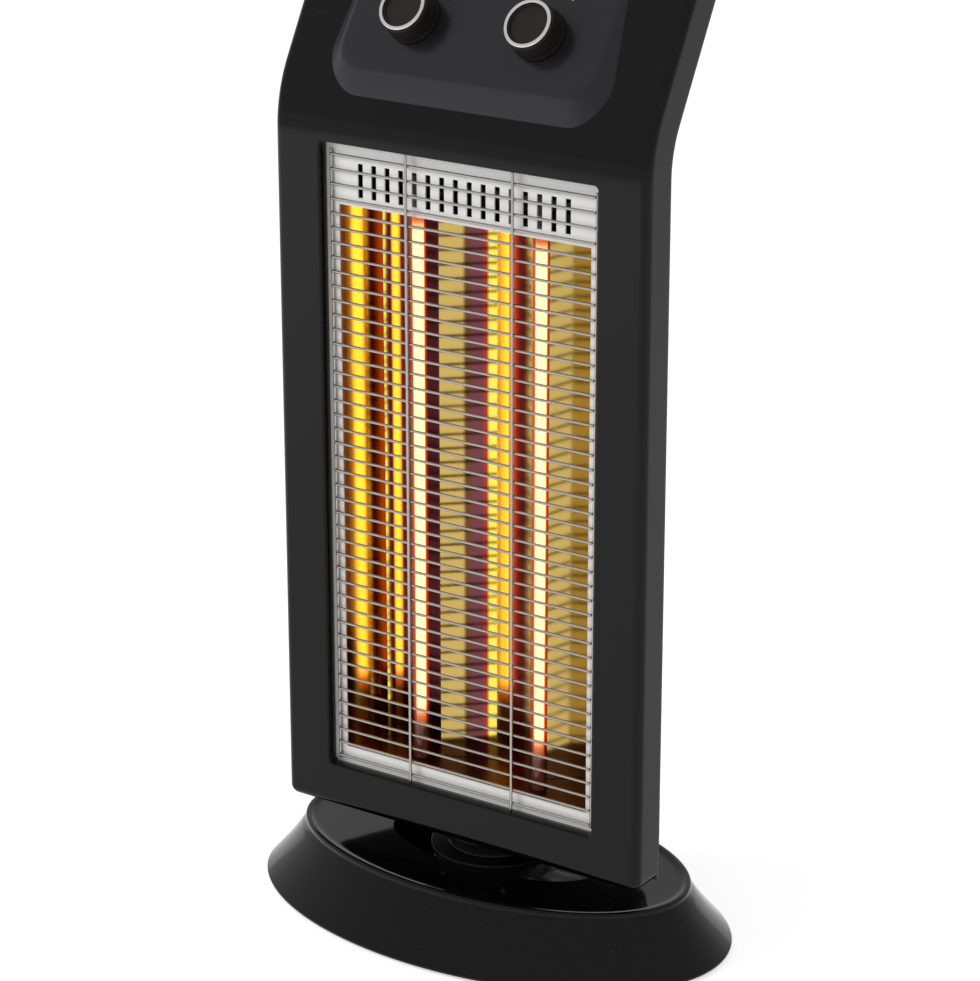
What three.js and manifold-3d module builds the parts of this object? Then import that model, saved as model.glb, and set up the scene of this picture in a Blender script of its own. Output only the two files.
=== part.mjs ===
// Upright radiant heater on an oval swivelling base: a tall glossy housing whose top leans back,
// two quartz tubes in a folded mirror reflector behind a welded wire guard, and two rotary knobs.
// Millimetres, +Z up, origin on the floor at the centre of the base. The front faces -Y.

import * as THREE from 'three';
import Module from 'manifold-3d';
import { mergeVertices } from 'three/addons/utils/BufferGeometryUtils.js';

const wasm = await Module();
wasm.setup();

// ---------------------------------------------------------------- driving dimensions

// Fits
const gap = 0.3; // between two pieces that touch
const runningGap = 0.4; // round a piece that turns or slides
const screwRadius = 1.9; // shank of every housing screw
const screwClearance = 0.35; // round a shank in its hole
const screwTipRoom = 2; // beyond a screw in a blind hole
const edgeBreak = 0.8; // bevel on small turned edges
const past = 5; // how far a cut runs beyond the walls it opens

// Facets round a circle
const wideSides = 24;
const midSides = 16;
const smallSides = 8;
const capSides = 12;
const ovalSides = 40;

// Housing: a flat face that bends and leans back towards the top
const faceMargin = 36.9; // width of the face on each side of the window
const faceAhead = 46; // front face ahead of the swivel axis
const housingBottom = 65;
const bendStart = 545; // height where the face starts to bend
const bendRadius = 95;
const leanDegrees = 29.5;
const leanLength = 87.5; // straight leaning part above the bend
const bendSteps = 6;
const bezelDepth = 25.5;
const bezelWall = 2.6;
const edgeRadius = 6; // long front edges
const endRadius = 4; // top and bottom edges

// Window in the face, with its inward lip
const windowWidth = 216.2;
const windowBottom = 97.3;
const windowHeight = 444.4;
const windowRadius = 3;
const lipDepth = 8.5;
const lipWall = 2.4;

// Rear cover: a flange behind the bezel and a hump that tapers to the back
const coverWall = 2.4;
const flangeInset = 0.5; // flange edge inside the housing outline
const humpBack = 44; // back wall behind the swivel axis
const humpMargin = 17.9; // its front edges lie past the sides of the window
const humpTaper = 20; // its sides lean in by this towards the back
const humpCornerRadius = 16;
const humpHeight = 580.5;
const humpRound = 6;
const ventWidth = 74;
const ventHeight = 3.5;
const ventPitch = 8;
const ventColumnPitch = 84;
const ventColumns = 2;
const upperVentRows = 5;
const upperVentBottom = 604;
const lowerVentRows = 5;
const lowerVentBottom = 100;
const gripWidth = 100;
const gripHeight = 30;
const gripDepth = 20;
const gripBottom = 554;
const gripUndercut = 10; // how far the finger space reaches up behind its lip
const gripLip = 8;
const coverScrewInset = 9; // inside the housing's sides
const coverScrewHeights = [112, 522];
const coverPostRadius = 4.6;
const coverScrewLength = 16;
const coverScrewHeadRadius = 3.5;
const coverScrewHeadHeight = 2;
const wireHoleRadius = 13;
const wireHoleBehind = 8; // behind the swivel axis

// Control console: a wedge on the leaning face
const consoleHalfWidth = 97;
const consoleHeight = 80;
const consoleLowerRadius = 16;
const consoleUpperRadius = 12;
const consoleRise = 9; // lower edge above the face
const wedgeDegrees = 5.6;
const flareRun = 22.2; // its sides widen by this
const flareDepth = 16; // over this depth
const consoleWall = 2.4;

// Knobs and rotary switches
const knobSpacing = 96;
const knobUp = 36; // above the console's lower edge
const knobBaseRadius = 18.6;
const knobTopRadius = 17.3;
const knobHeight = 15.7;
const knobClearance = 0.5; // over the console
const knobBoreDepth = 11;
const knobFoot = 2; // height of the straight edge round its foot
const ringOuterRadius = 17;
const ringInnerRadius = 14;
const ringHeight = 2.2;
const dishDepth = 0.7;
const shaftRadius = 3;
const shaftFit = 0.2; // round the shaft in its knob
const bushingRadius = 5;
const bushingLength = 6;
const switchRadius = 15;
const switchDepth = 18;
const switchBoreDepth = 13;
const bracketThickness = 1.3;
const bracketHalfWidth = 88;
const bracketHalfHeight = 17;
const bracketBehind = 10.2; // behind the console's panel plane
const stubRadius = 5;
const stubLength = 4.5;
const stubSpacing = 78;

// Reflector frame: the bright plate round the mirror, with a row of vent slots
const frameSheet = 1;
const frameOverlap = 6; // behind the window's lip
const mouthInset = 9.6; // inside the sides of the window
const mouthBottom = 109.5;
const mouthTop = 499;
const slotCount = 16;
const slotPitch = 10.8;
const slotWidth = 4;
const slotHeight = 23;
const slotBottom = 505.3;

// Folded mirror, from the mouth to the middle: shares of the mouth's half width, and depths behind the face
const foldShares = [0.873, 0.6934, 0.3736];
const foldDepths = [40, 59.5, 34.7];
const middleDepth = 49;
const mirrorSheet = 0.8;
const mirrorFlange = 11.5;
const mirrorOverhang = 1; // past the mouth, above and below
const endPlateSheet = 1;
const endPlateMargin = 4; // past the folds
const endPlateInset = 2; // inside the mirror's flanges
const shieldDepth = 69;
const shieldMargin = 15; // its front edges lie past the mouth
const shieldTaper = 15.5; // its sides lean in by this towards the back
const shieldSheet = 0.8;
const shieldOverhang = 8; // past the mouth, above and below
const cutoutRadius = 8;
const cutoutHeight = 8;
const cutoutAt = 330;

// Quartz tubes
const tubeShare = 0.4496; // spacing of the two tubes over the window's width
const tubeDepth = 28; // behind the face
const glassRadius = 5.5;
const glassWall = 1;
const filamentRadius = 1.7;
const capRadius = 7;
const capLength = 22;
const capGrip = 8; // length of glass inside a cap
const capClearance = 0.3;
const clipWall = 1.4;
const clipLength = 9;
const clipFlange = 13;

// Wire guard
const wireRadius = 1;
const wirePitch = 10;
const lowestWire = 103;
const wireCount = 44;
const guardInset = 4.6; // inside the sides of the window
const uprightSpacing = 83.2;
const weldDepth = 0.5; // how far crossing wires sink into each other
const sideOverhang = 3; // side wires past the outermost cross wires
const wireSides = 6;

// Base: an oval tapered cover over a flat plate
const baseWidth = 362;
const baseDepth = 226;
const baseHeight = 46;
const baseWall = 2.8;
const skirtInset = 29; // the rim lies this far inside the bottom edge
const skirtBow = 1.5; // the skirt is slightly hollow
const skirtSlant = 1.2; // width of its slanting wall over its thickness
const skirtLift = 2; // bottom edge above the floor
const rimHeight = 4;
const rimWidth = 4;
const rimRound = 1.2;
const rimGroove = 2; // under the rim
const topDish = 2; // the top lies below the rim
const plateLift = 3;
const plateSheet = 2.4;
const plateGap = 1.2; // inside the skirt
const footRadius = 11;
const footInsetX = 63; // inside the ends of the base
const footInsetY = 51;
const footStemRadius = 4;
const footStemProud = 1.5; // above the plate
const bossInsetX = 53; // inside the ends of the base
const bossInsetY = 79;
const bossRadius = 5;
const plateScrewHead = 3.6;
const plateScrewHeadHeight = 1.6;
const plateScrewLength = 16;

// Swivel neck, its bush and the arm that swings it
const neckRadius = 31;
const neckBore = 25;
const neckFlangeRadius = 40;
const neckFlange = 3.7;
const turntableRadius = 44;
const turntableHeight = 3.2;
const bushWall = 4.3;
const bushFlange = 1.7;
const armSheet = 1.7;
const armRingRadius = 42;
const neckDrop = 7.7; // neck below the top of the base
const neckScrewOffset = 25;
const neckScrewHead = 3.2;
const neckScrewHeadHeight = 2.4;
const neckScrewLength = 13.3;

// Swing drive inside the base
const swingDegrees = 30;
const crankOffset = 64; // from the swivel axis to the crank
const crankPinRadius = 2.5;
const crankDiscMargin = 6;
const crankDiscHeight = 3;
const crankPinHeight = 7;
const crankShaftLength = 8;
const motorRadius = 25;
const motorHeight = 20;
const motorNoseRadius = 6;
const motorNoseHeight = 2;
const motorShaftRadius = 3;
const slotSlack = 6.7; // beside the pin, because the arm and the crank turn at different rates
const armRim = 4.3;
const slotRound = 2;

// Tip-over switch inside the base
const tipSwitchX = -70;
const tipSwitchY = -40;
const plungerRadius = 3;
const plungerHeight = 25.7;
const plungerFlangeRadius = 5.7;
const plungerFlange = 2;
const plungerTravel = 5;
const guideWall = 3;
const guideTop = 26;
const microLength = 28;
const microWidth = 12;
const microHeight = 14;

// Inlet bush for the mains lead, low in the back of the skirt
const inletHeight = 15;
const inletRadius = 6.7;
const inletBore = 3.5;
const inletLength = 13;
const inletProud = 1; // past the skirt, over its upper edge

// Body bracket over the neck, with the terminal block
const bodyBracketHalfWidth = 62;
const bodyBracketSheet = 1.5;
const bodyBracketFront = 43;
const bodyBracketBack = 38;
const terminalLength = 30;
const terminalWidth = 22;
const terminalHeight = 16;
const terminalFrom = 30;

// ---------------------------------------------------------------- places worked out from them

const lean = THREE.MathUtils.degToRad(leanDegrees);
const tilt = THREE.MathUtils.degToRad(leanDegrees + wedgeDegrees);
const bendEnd = bendStart + bendRadius * lean; // along the face
const faceEnd = bendEnd + leanLength; // along the face
const halfWidth = windowWidth / 2 + faceMargin;
const coverScrewHalf = halfWidth - coverScrewInset;
const windowTop = windowBottom + windowHeight;
const frameDepth = lipDepth + gap;
const mirrorDepth = frameDepth + frameSheet + gap;
const mouthHalfWidth = windowWidth / 2 - mouthInset;
const foldHalfWidths = foldShares.map((share) => share * mouthHalfWidth);
const shieldHalfFront = mouthHalfWidth + shieldMargin;
const shieldHalfBack = shieldHalfFront - shieldTaper;
const guardHalfWidth = windowWidth / 2 - guardInset;
const tubeSpacing = tubeShare * windowWidth;
const tubeY = tubeDepth - faceAhead;
const flangeDepth = bezelDepth + gap;
const humpFrontHalf = windowWidth / 2 + humpMargin;
const humpBackHalf = humpFrontHalf - humpTaper;
const humpBottom = housingBottom + flangeInset;
const humpTop = humpBottom + humpHeight;
const baseTop = baseHeight - topDish;
const plateTop = plateLift + plateSheet;
const neckBottom = baseTop - neckDrop;
const neckTop = housingBottom - gap;
const bushOuter = neckRadius + runningGap + bushWall;
const footSpanX = baseWidth - 2 * footInsetX;
const footSpanY = baseDepth - 2 * footInsetY;
const bossSpanX = baseWidth - 2 * bossInsetX;
const bossSpanY = baseDepth - 2 * bossInsetY;
const crankThrow = crankOffset * Math.sin(THREE.MathUtils.degToRad(swingDegrees));
const consoleOrigin = bendPoint(0, -consoleRise, bendEnd);

// ---------------------------------------------------------------- solids

// Swap the corners of every triangle if the closed mesh is inside out
function facesOut(geometry) {
  const position = geometry.attributes.position;
  const index = geometry.index.array;
  const [a, b, c] = [new THREE.Vector3(), new THREE.Vector3(), new THREE.Vector3()];
  let volume = 0;
  for (let i = 0; i < index.length; i += 3) {
    a.fromBufferAttribute(position, index[i]);
    b.fromBufferAttribute(position, index[i + 1]);
    c.fromBufferAttribute(position, index[i + 2]);
    volume += a.dot(b.cross(c));
  }
  if (volume < 0) {
    for (let i = 0; i < index.length; i += 3) {
      [index[i], index[i + 1]] = [index[i + 1], index[i]];
    }
  }
  return geometry;
}

// Merge the shared corners of a closed geometry and drop the triangles that shrink to a line
function welded(geometry) {
  const bare = geometry.clone();
  bare.deleteAttribute('normal');
  bare.deleteAttribute('uv');
  const merged = mergeVertices(bare, 1e-4);
  const corners = merged.index.array;
  const kept = [];
  for (let i = 0; i < corners.length; i += 3) {
    const [p, q, r] = [corners[i], corners[i + 1], corners[i + 2]];
    if (p !== q && q !== r && r !== p) {
      kept.push(p, q, r);
    }
  }
  merged.setIndex(new THREE.BufferAttribute(new Uint32Array(kept), 1));
  return facesOut(merged);
}

function solid(geometry) {
  const closed = welded(geometry);
  const vertProperties = new Float32Array(closed.attributes.position.array);
  return new wasm.Manifold(new wasm.Mesh({ numProp: 3, vertProperties, triVerts: closed.index.array }));
}

function geometryOf(body) {
  const mesh = body.getMesh();
  const geometry = new THREE.BufferGeometry();
  geometry.setAttribute('position', new THREE.BufferAttribute(mesh.vertProperties, 3));
  geometry.setIndex(new THREE.BufferAttribute(mesh.triVerts, 1));
  geometry.computeVertexNormals();
  return geometry;
}

function join(bodies) {
  return bodies.reduce((whole, body) => whole.add(body));
}

function cut(body, tools) {
  return tools.reduce((rest, tool) => rest.subtract(tool), body);
}

function box([x0, x1], [y0, y1], [z0, z1]) {
  return new THREE.BoxGeometry(x1 - x0, y1 - y0, z1 - z0)
    .translate((x0 + x1) / 2, (y0 + y1) / 2, (z0 + z1) / 2);
}

// Upright cylinder from z0 to z1
function cylinder(radius, z0, z1, sides = smallSides) {
  return new THREE.CylinderGeometry(radius, radius, z1 - z0, sides)
    .rotateX(Math.PI / 2)
    .translate(0, 0, (z0 + z1) / 2);
}

// Body of revolution about Z from [radius, height] pairs
function revolve(profile, sides = midSides) {
  const points = profile.map(([r, z]) => new THREE.Vector2(r, z));
  return new THREE.LatheGeometry(points, sides).rotateX(Math.PI / 2);
}

// Closed profile of a plain tube, for revolve
function ringProfile(inner, outer, z0, z1) {
  return [[inner, z0], [outer, z0], [outer, z1], [inner, z1], [inner, z0]];
}

function outline(points) {
  return new THREE.Shape(points.map(([x, y]) => new THREE.Vector2(x, y)));
}

function extrude(shape, z0, z1, curveSegments = 6) {
  return new THREE.ExtrudeGeometry(shape, { depth: z1 - z0, bevelEnabled: false, curveSegments })
    .translate(0, 0, z0);
}

function roundedRectangle([x0, x1], [y0, y1], lower, upper = lower) {
  const shape = new THREE.Shape();
  shape.moveTo(x0 + lower, y0);
  shape.lineTo(x1 - lower, y0);
  shape.absarc(x1 - lower, y0 + lower, lower, -Math.PI / 2, 0);
  shape.lineTo(x1, y1 - upper);
  shape.absarc(x1 - upper, y1 - upper, upper, 0, Math.PI / 2);
  shape.lineTo(x0 + upper, y1);
  shape.absarc(x0 + upper, y1 - upper, upper, Math.PI / 2, Math.PI);
  shape.lineTo(x0, y0 + lower);
  shape.absarc(x0 + lower, y0 + lower, lower, Math.PI, Math.PI * 1.5);
  return shape;
}

// Sheet metal folded along [x, y] points: the line and its copy moved to the left by the sheet
function foldedSheet(points, thickness) {
  const line = points.map(([x, y]) => new THREE.Vector2(x, y));
  const side = line.map((point, i) => {
    const before = line[Math.max(i - 1, 0)];
    const after = line[Math.min(i + 1, line.length - 1)];
    const into = (i === 0 ? after.clone().sub(point) : point.clone().sub(before)).normalize();
    const out = (i === line.length - 1 ? into.clone() : after.clone().sub(point)).normalize();
    const mitre = new THREE.Vector2(-into.y - out.y, into.x + out.x).normalize();
    const stretch = thickness / mitre.dot(new THREE.Vector2(-into.y, into.x));
    return point.clone().add(mitre.multiplyScalar(stretch));
  });
  return new THREE.Shape([...line, ...side.reverse()]);
}

// ---------------------------------------------------------------- the bend of the housing

// A point given by its place across, its depth behind the face and its distance along the face
function bendPoint(x, depth, along) {
  const past = Math.max(along - bendStart, 0);
  const angle = Math.min(past / bendRadius, lean);
  const straight = past - angle * bendRadius;
  const below = Math.min(along, bendStart);
  const reach = bendRadius - depth;
  const y = bendRadius - reach * Math.cos(angle) + straight * Math.sin(angle) - faceAhead;
  const z = below + reach * Math.sin(angle) + straight * Math.cos(angle);
  return new THREE.Vector3(x, y, z);
}

// A section drawn across the housing (x, depth behind the face), run along the bent face
function bentSolid(section, from, to, round = 0) {
  const stations = [from + round];
  for (let i = 0; i <= bendSteps; i += 1) {
    stations.push(bendStart + ((bendEnd - bendStart) * i) / bendSteps);
  }
  stations.push(to - round);
  const last = stations.length - 1;
  const geometry = new THREE.ExtrudeGeometry(section, {
    depth: last,
    steps: last,
    curveSegments: 3,
    bevelEnabled: round > 0,
    bevelThickness: round,
    bevelSize: round,
    bevelOffset: -round,
    bevelSegments: 2,
  });
  const position = geometry.attributes.position;
  for (let i = 0; i < position.count; i += 1) {
    const step = position.getZ(i);
    const k = Math.min(Math.max(Math.floor(step), 0), last - 1);
    const inside = Math.min(Math.max(step, 0), last);
    const beyond = step - inside;
    const along = THREE.MathUtils.lerp(stations[k], stations[k + 1], inside - k) + beyond;
    const bent = bendPoint(position.getX(i), position.getY(i), along);
    position.setXYZ(i, bent.x, bent.y, bent.z);
  }
  return geometry;
}

// Section of a tray with rounded front corners: half width, and depths of its front and back
function traySection(half, front, back, radius) {
  const shape = new THREE.Shape();
  shape.moveTo(half, back);
  shape.lineTo(-half, back);
  shape.lineTo(-half, front + radius);
  shape.absarc(-half + radius, front + radius, radius, Math.PI, Math.PI * 1.5);
  shape.lineTo(half - radius, front);
  shape.absarc(half - radius, front + radius, radius, -Math.PI / 2, 0);
  return shape;
}

function slab(half, front, back) {
  return outline([[-half, front], [half, front], [half, back], [-half, back]]);
}

// From the console's own frame (x, up its panel, out of its panel) to its place on the face
function onConsole(geometry) {
  return geometry.rotateX(Math.PI / 2 - tilt).translate(0, consoleOrigin.y, consoleOrigin.z);
}

function knobPlaces() {
  return [-knobSpacing / 2, knobSpacing / 2];
}

function tubePlaces() {
  return [-tubeSpacing / 2, tubeSpacing / 2];
}

// Holes for the switches' bushings, from in front of the console's panel to a depth behind it
function bushingHoles(depth) {
  return knobPlaces().map((x) =>
    cylinder(bushingRadius + gap, -depth, past, midSides).translate(x, knobUp, 0));
}

// Upright holes at [x, y] places through whatever stands between two heights
function drill(places, radius, z0, z1, sides = smallSides) {
  return places.map(([x, y]) => solid(cylinder(radius, z0 - past, z1 + past, sides).translate(x, y, 0)));
}

function corners(spanX, spanY) {
  return [[-1, -1], [1, -1], [1, 1], [-1, 1]].map(([i, j]) => [(i * spanX) / 2, (j * spanY) / 2]);
}

// ---------------------------------------------------------------- base

// Widen a round body into an oval one: its skirt keeps the same inset all the way round
function stretchToOval(geometry) {
  const stretch = (baseWidth - baseDepth) / 2;
  const full = baseDepth / 4;
  const position = geometry.attributes.position;
  for (let i = 0; i < position.count; i += 1) {
    const x = position.getX(i);
    const radius = Math.hypot(x, position.getY(i));
    const share = radius > 0 ? x / radius : 0;
    position.setX(i, x + share * stretch * Math.min(radius / full, 1));
  }
  return geometry;
}

// Radius of the skirt's outside across the base, at a height
function skirtRadius(height) {
  const top = baseHeight - rimHeight;
  const low = skirtLift + baseWall;
  const t = (top - height) / (top - low);
  return baseDepth / 2 - skirtInset * (1 - t) - skirtBow * Math.sin(Math.PI * Math.min(Math.max(t, 0), 1));
}

function baseCover() {
  const edge = baseDepth / 2;
  const rim = edge - skirtInset;
  const skirtTop = baseHeight - rimHeight;
  const low = skirtLift + baseWall;
  const inner = baseWall * skirtSlant;
  const skirt = [0, 0.33, 0.67, 1].map((t) => THREE.MathUtils.lerp(skirtTop - rimGroove, low, t));
  const profile = [
    [0, baseTop],
    [rim - rimWidth - topDish * 2, baseTop],
    [rim - rimWidth, baseHeight],
    [rim - rimRound, baseHeight],
    [rim, baseHeight - rimRound],
    [rim, skirtTop],
    [rim - rimGroove / 2, skirtTop - rimGroove / 2],
    ...skirt.map((z) => [skirtRadius(z), z]),
    [edge - skirtBow / 2, skirtLift],
    [edge - baseWall, skirtLift],
    [skirtRadius(low) - inner, low],
    [skirtRadius(baseTop / 2) - inner, baseTop / 2],
    [rim - inner, baseTop - baseWall],
    [0, baseTop - baseWall],
  ];
  const shell = solid(stretchToOval(revolve(profile, ovalSides)));
  const underTop = baseTop - baseWall / 2;
  const bosses = corners(bossSpanX, bossSpanY).map(([x, y]) =>
    solid(cylinder(bossRadius, plateTop + gap, underTop).translate(x, y, 0)));
  const bossHoles = drill(corners(bossSpanX, bossSpanY), screwRadius + screwClearance, 0,
    plateTop + plateScrewLength - past);
  const pivotHole = drill([[0, 0]], bushOuter + gap, baseTop - baseWall, baseTop, wideSides);
  const inletHole = solid(cylinder(inletRadius + gap, 0, baseDepth, midSides)
    .rotateX(-Math.PI / 2).translate(0, 0, inletHeight));
  return geometryOf(cut(join([shell, ...bosses]), [...bossHoles, ...pivotHole, inletHole]));
}

// Its outer end stands proud of the skirt, which slants across it
function inletBush() {
  const end = skirtRadius(inletHeight + inletRadius) + inletProud;
  const tube = revolve(ringProfile(inletBore, inletRadius, end - inletLength, end));
  return tube.rotateX(-Math.PI / 2).translate(0, 0, inletHeight);
}

function basePlate() {
  const inset = baseDepth / 2 - skirtRadius(plateTop) + baseWall * skirtSlant + plateGap;
  const oval = new THREE.Shape();
  oval.absellipse(0, 0, baseWidth / 2 - inset, baseDepth / 2 - inset, 0, Math.PI * 2);
  const plate = solid(extrude(oval, plateLift, plateTop, ovalSides / 2));
  const guideOuter = plungerFlangeRadius + runningGap + guideWall;
  const guide = solid(cylinder(guideOuter, plateLift, guideTop, midSides).translate(tipSwitchX, tipSwitchY, 0));
  const well = solid(cylinder(plungerFlangeRadius + runningGap, plateTop, guideTop + past, midSides)
    .translate(tipSwitchX, tipSwitchY, 0));
  const holes = [
    ...drill([[tipSwitchX, tipSwitchY]], plungerRadius + runningGap, 0, plateTop, midSides),
    ...drill(corners(footSpanX, footSpanY), footStemRadius + gap, 0, plateTop, midSides),
    ...drill(corners(bossSpanX, bossSpanY), screwRadius + screwClearance, 0, plateTop),
  ];
  return geometryOf(cut(plate.add(guide), [well, ...holes]));
}

function foot() {
  const top = plateLift - gap;
  const stemTop = plateTop + footStemProud;
  return revolve([[0, 0], [footRadius - edgeBreak, 0], [footRadius, edgeBreak], [footRadius, top],
    [footStemRadius, top], [footStemRadius, stemTop], [0, stemTop]]);
}

// A screw standing on its head: the seat under the head, then the shank up to its end
function screw(headRadius, headHeight, seat, end) {
  return revolve([[0, seat - headHeight], [headRadius - edgeBreak, seat - headHeight],
    [headRadius, seat - headHeight + edgeBreak], [headRadius, seat], [screwRadius, seat], [screwRadius, end],
    [0, end]], smallSides);
}

function plateScrew() {
  const hole = plateTop + plateScrewLength;
  return screw(plateScrewHead, plateScrewHeadHeight, plateLift - gap, hole - screwTipRoom);
}

// ---------------------------------------------------------------- tip-over switch

function tipPlunger() {
  const flange = plateTop + plungerTravel + gap;
  return revolve([[0, 0], [plungerRadius - edgeBreak, 0], [plungerRadius, edgeBreak], [plungerRadius, flange],
    [plungerFlangeRadius, flange], [plungerFlangeRadius, flange + plungerFlange],
    [plungerRadius, flange + plungerFlange],
    [plungerRadius, plungerHeight], [0, plungerHeight]], smallSides).translate(tipSwitchX, tipSwitchY, 0);
}

function tipSwitch() {
  const seat = guideTop + gap;
  return box([tipSwitchX - microLength / 2, tipSwitchX + microLength / 2],
    [tipSwitchY - microWidth / 2, tipSwitchY + microWidth / 2], [seat, seat + microHeight]);
}

// ---------------------------------------------------------------- swing drive

function crankSeat() {
  return plateTop + gap + motorHeight + motorNoseHeight + gap;
}

function swingMotor() {
  const floor = plateTop + gap;
  const top = floor + motorHeight;
  const nose = top + motorNoseHeight;
  const bore = motorShaftRadius + runningGap;
  const boreEnd = crankSeat() - crankShaftLength - gap;
  return revolve([[0, floor], [motorRadius - edgeBreak, floor], [motorRadius, floor + edgeBreak],
    [motorRadius, top - edgeBreak], [motorRadius - edgeBreak, top], [motorNoseRadius, top],
    [motorNoseRadius, nose], [bore, nose], [bore, boreEnd], [0, boreEnd]]).translate(crankOffset, 0, 0);
}

function motorCrank() {
  const seat = crankSeat();
  const discTop = seat + crankDiscHeight;
  const disc = solid(cylinder(crankThrow + crankDiscMargin, seat, discTop, wideSides));
  const shaft = solid(cylinder(motorShaftRadius, seat - crankShaftLength, discTop - crankDiscHeight / 2));
  const pin = solid(cylinder(crankPinRadius, discTop - crankDiscHeight / 2, discTop + crankPinHeight)
    .translate(crankThrow, 0, 0));
  return geometryOf(join([disc, shaft, pin])).translate(crankOffset, 0, 0);
}

// Flat ring under the neck with an arm whose long slot is driven by the crank pin
function swingArm() {
  const top = neckBottom - gap;
  const nearest = crankOffset - crankThrow * Math.sin(THREE.MathUtils.degToRad(swingDegrees));
  const slotFrom = nearest - crankPinRadius - runningGap;
  const slotTo = crankOffset + crankThrow + crankPinRadius + runningGap;
  const slotHalf = crankPinRadius + slotSlack;
  const armHalf = slotHalf + armRim;
  const ring = solid(cylinder(armRingRadius, top - armSheet, top, wideSides));
  const armPlan = roundedRectangle([0, slotTo + armRim], [-armHalf, armHalf], slotRound + armRim);
  const slotPlan = roundedRectangle([slotFrom, slotTo], [-slotHalf, slotHalf], slotRound);
  const arm = solid(extrude(armPlan, top - armSheet, top, 2));
  const bore = solid(cylinder(neckBore, top - armSheet - past, top + past, wideSides));
  const slot = solid(extrude(slotPlan, top - armSheet - past, top + past, 2));
  return geometryOf(cut(ring.add(arm), [bore, slot]));
}

// ---------------------------------------------------------------- neck

function pivotBush() {
  const inner = neckRadius + runningGap;
  const seat = baseTop + gap;
  return revolve([[inner, neckBottom], [bushOuter, neckBottom], [bushOuter, seat], [turntableRadius, seat],
    [turntableRadius, seat + bushFlange], [inner, seat + bushFlange], [inner, neckBottom]], wideSides);
}

function neckScrewPlaces() {
  return corners(2 * neckScrewOffset, 2 * neckScrewOffset);
}

function swivelNeck() {
  const table = baseTop + gap + bushFlange + gap;
  const flange = neckTop - neckFlange;
  const tube = solid(revolve([[neckBore, neckBottom], [neckRadius, neckBottom], [neckRadius, table],
    [turntableRadius, table], [turntableRadius, table + turntableHeight - edgeBreak],
    [turntableRadius - edgeBreak, table + turntableHeight], [neckRadius, table + turntableHeight],
    [neckRadius, flange], [neckFlangeRadius, flange], [neckFlangeRadius, neckTop], [neckBore, neckTop],
    [neckBore, neckBottom]], wideSides));
  const holes = drill(neckScrewPlaces(), screwRadius + screwClearance, flange, neckTop);
  return geometryOf(cut(tube, holes));
}

function neckScrew() {
  const seat = neckTop - neckFlange - gap;
  return screw(neckScrewHead, neckScrewHeadHeight, seat, seat + neckScrewLength);
}

// ---------------------------------------------------------------- housing

function coverScrewPlaces() {
  return coverScrewHeights.flatMap((z) => [[-coverScrewHalf, z], [coverScrewHalf, z]]);
}

// Cylinder along Y between two depths behind the face
function alongDepth(radius, from, to, x, z, sides = smallSides) {
  return cylinder(radius, from, to, sides).rotateX(-Math.PI / 2).translate(x, -faceAhead, z);
}

function windowHole(margin, front, back) {
  const shape = roundedRectangle([-windowWidth / 2 - margin, windowWidth / 2 + margin],
    [windowBottom - margin, windowTop + margin], windowRadius + margin);
  return extrude(shape, front, back, 3).rotateX(Math.PI / 2).scale(1, -1, 1).translate(0, -faceAhead, 0);
}

function frontBezel() {
  const outer = solid(bentSolid(
    traySection(halfWidth, 0, bezelDepth, edgeRadius),
    housingBottom, faceEnd, endRadius));
  const inner = solid(bentSolid(
    traySection(halfWidth - bezelWall, bezelWall, bezelDepth + past, edgeRadius - bezelWall),
    housingBottom + bezelWall, faceEnd - bezelWall));
  const lip = solid(windowHole(lipWall, bezelWall / 2, lipDepth));
  const posts = coverScrewPlaces().map(([x, z]) =>
    solid(alongDepth(coverPostRadius, bezelWall / 2, bezelDepth, x, z)));
  const stubTop = -bracketBehind + gap;
  const stubs = [-stubSpacing, 0, stubSpacing].map((x) =>
    solid(onConsole(cylinder(stubRadius, stubTop, stubTop + stubLength).translate(x, knobUp, 0))));
  const postHoles = coverScrewPlaces().map(([x, z]) =>
    solid(alongDepth(screwRadius + screwClearance, bezelDepth - coverScrewLength, bezelDepth + past, x, z)));
  const neckHoles = drill(neckScrewPlaces(), screwRadius + screwClearance, housingBottom,
    housingBottom + bezelWall);
  const window = solid(windowHole(0, -past, lipDepth + past));
  const switchHoles = bushingHoles(bezelDepth).map((hole) => solid(onConsole(hole)));
  return geometryOf(cut(join([outer.subtract(inner), lip, ...posts, ...stubs]),
    [window, ...postHoles, ...neckHoles, ...switchHoles]));
}

// Plan of the rear hump, drawn in by a wall thickness
function humpPlan(inset) {
  const front = flangeDepth - faceAhead + (inset > 0 ? -past : coverWall / 2);
  const back = humpBack - inset;
  const frontHalf = humpFrontHalf - inset;
  const backHalf = humpBackHalf - inset;
  const shape = new THREE.Shape();
  shape.moveTo(-frontHalf, front);
  shape.lineTo(frontHalf, front);
  shape.lineTo(backHalf, back - humpCornerRadius);
  shape.quadraticCurveTo(backHalf - humpCornerRadius / 4, back, backHalf - humpCornerRadius, back);
  shape.lineTo(-backHalf + humpCornerRadius, back);
  shape.quadraticCurveTo(-backHalf + humpCornerRadius / 4, back, -backHalf, back - humpCornerRadius);
  return shape;
}

function ventSlots(rows, bottom) {
  const slots = [];
  for (let row = 0; row < rows; row += 1) {
    for (let column = 0; column < ventColumns; column += 1) {
      const x = (column - (ventColumns - 1) / 2) * ventColumnPitch;
      const z = bottom + row * ventPitch;
      const across = [x - ventWidth / 2, x + ventWidth / 2];
      slots.push(solid(box(across, [humpBack - coverWall - past, humpBack + past], [z, z + ventHeight])));
    }
  }
  return slots;
}

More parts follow.
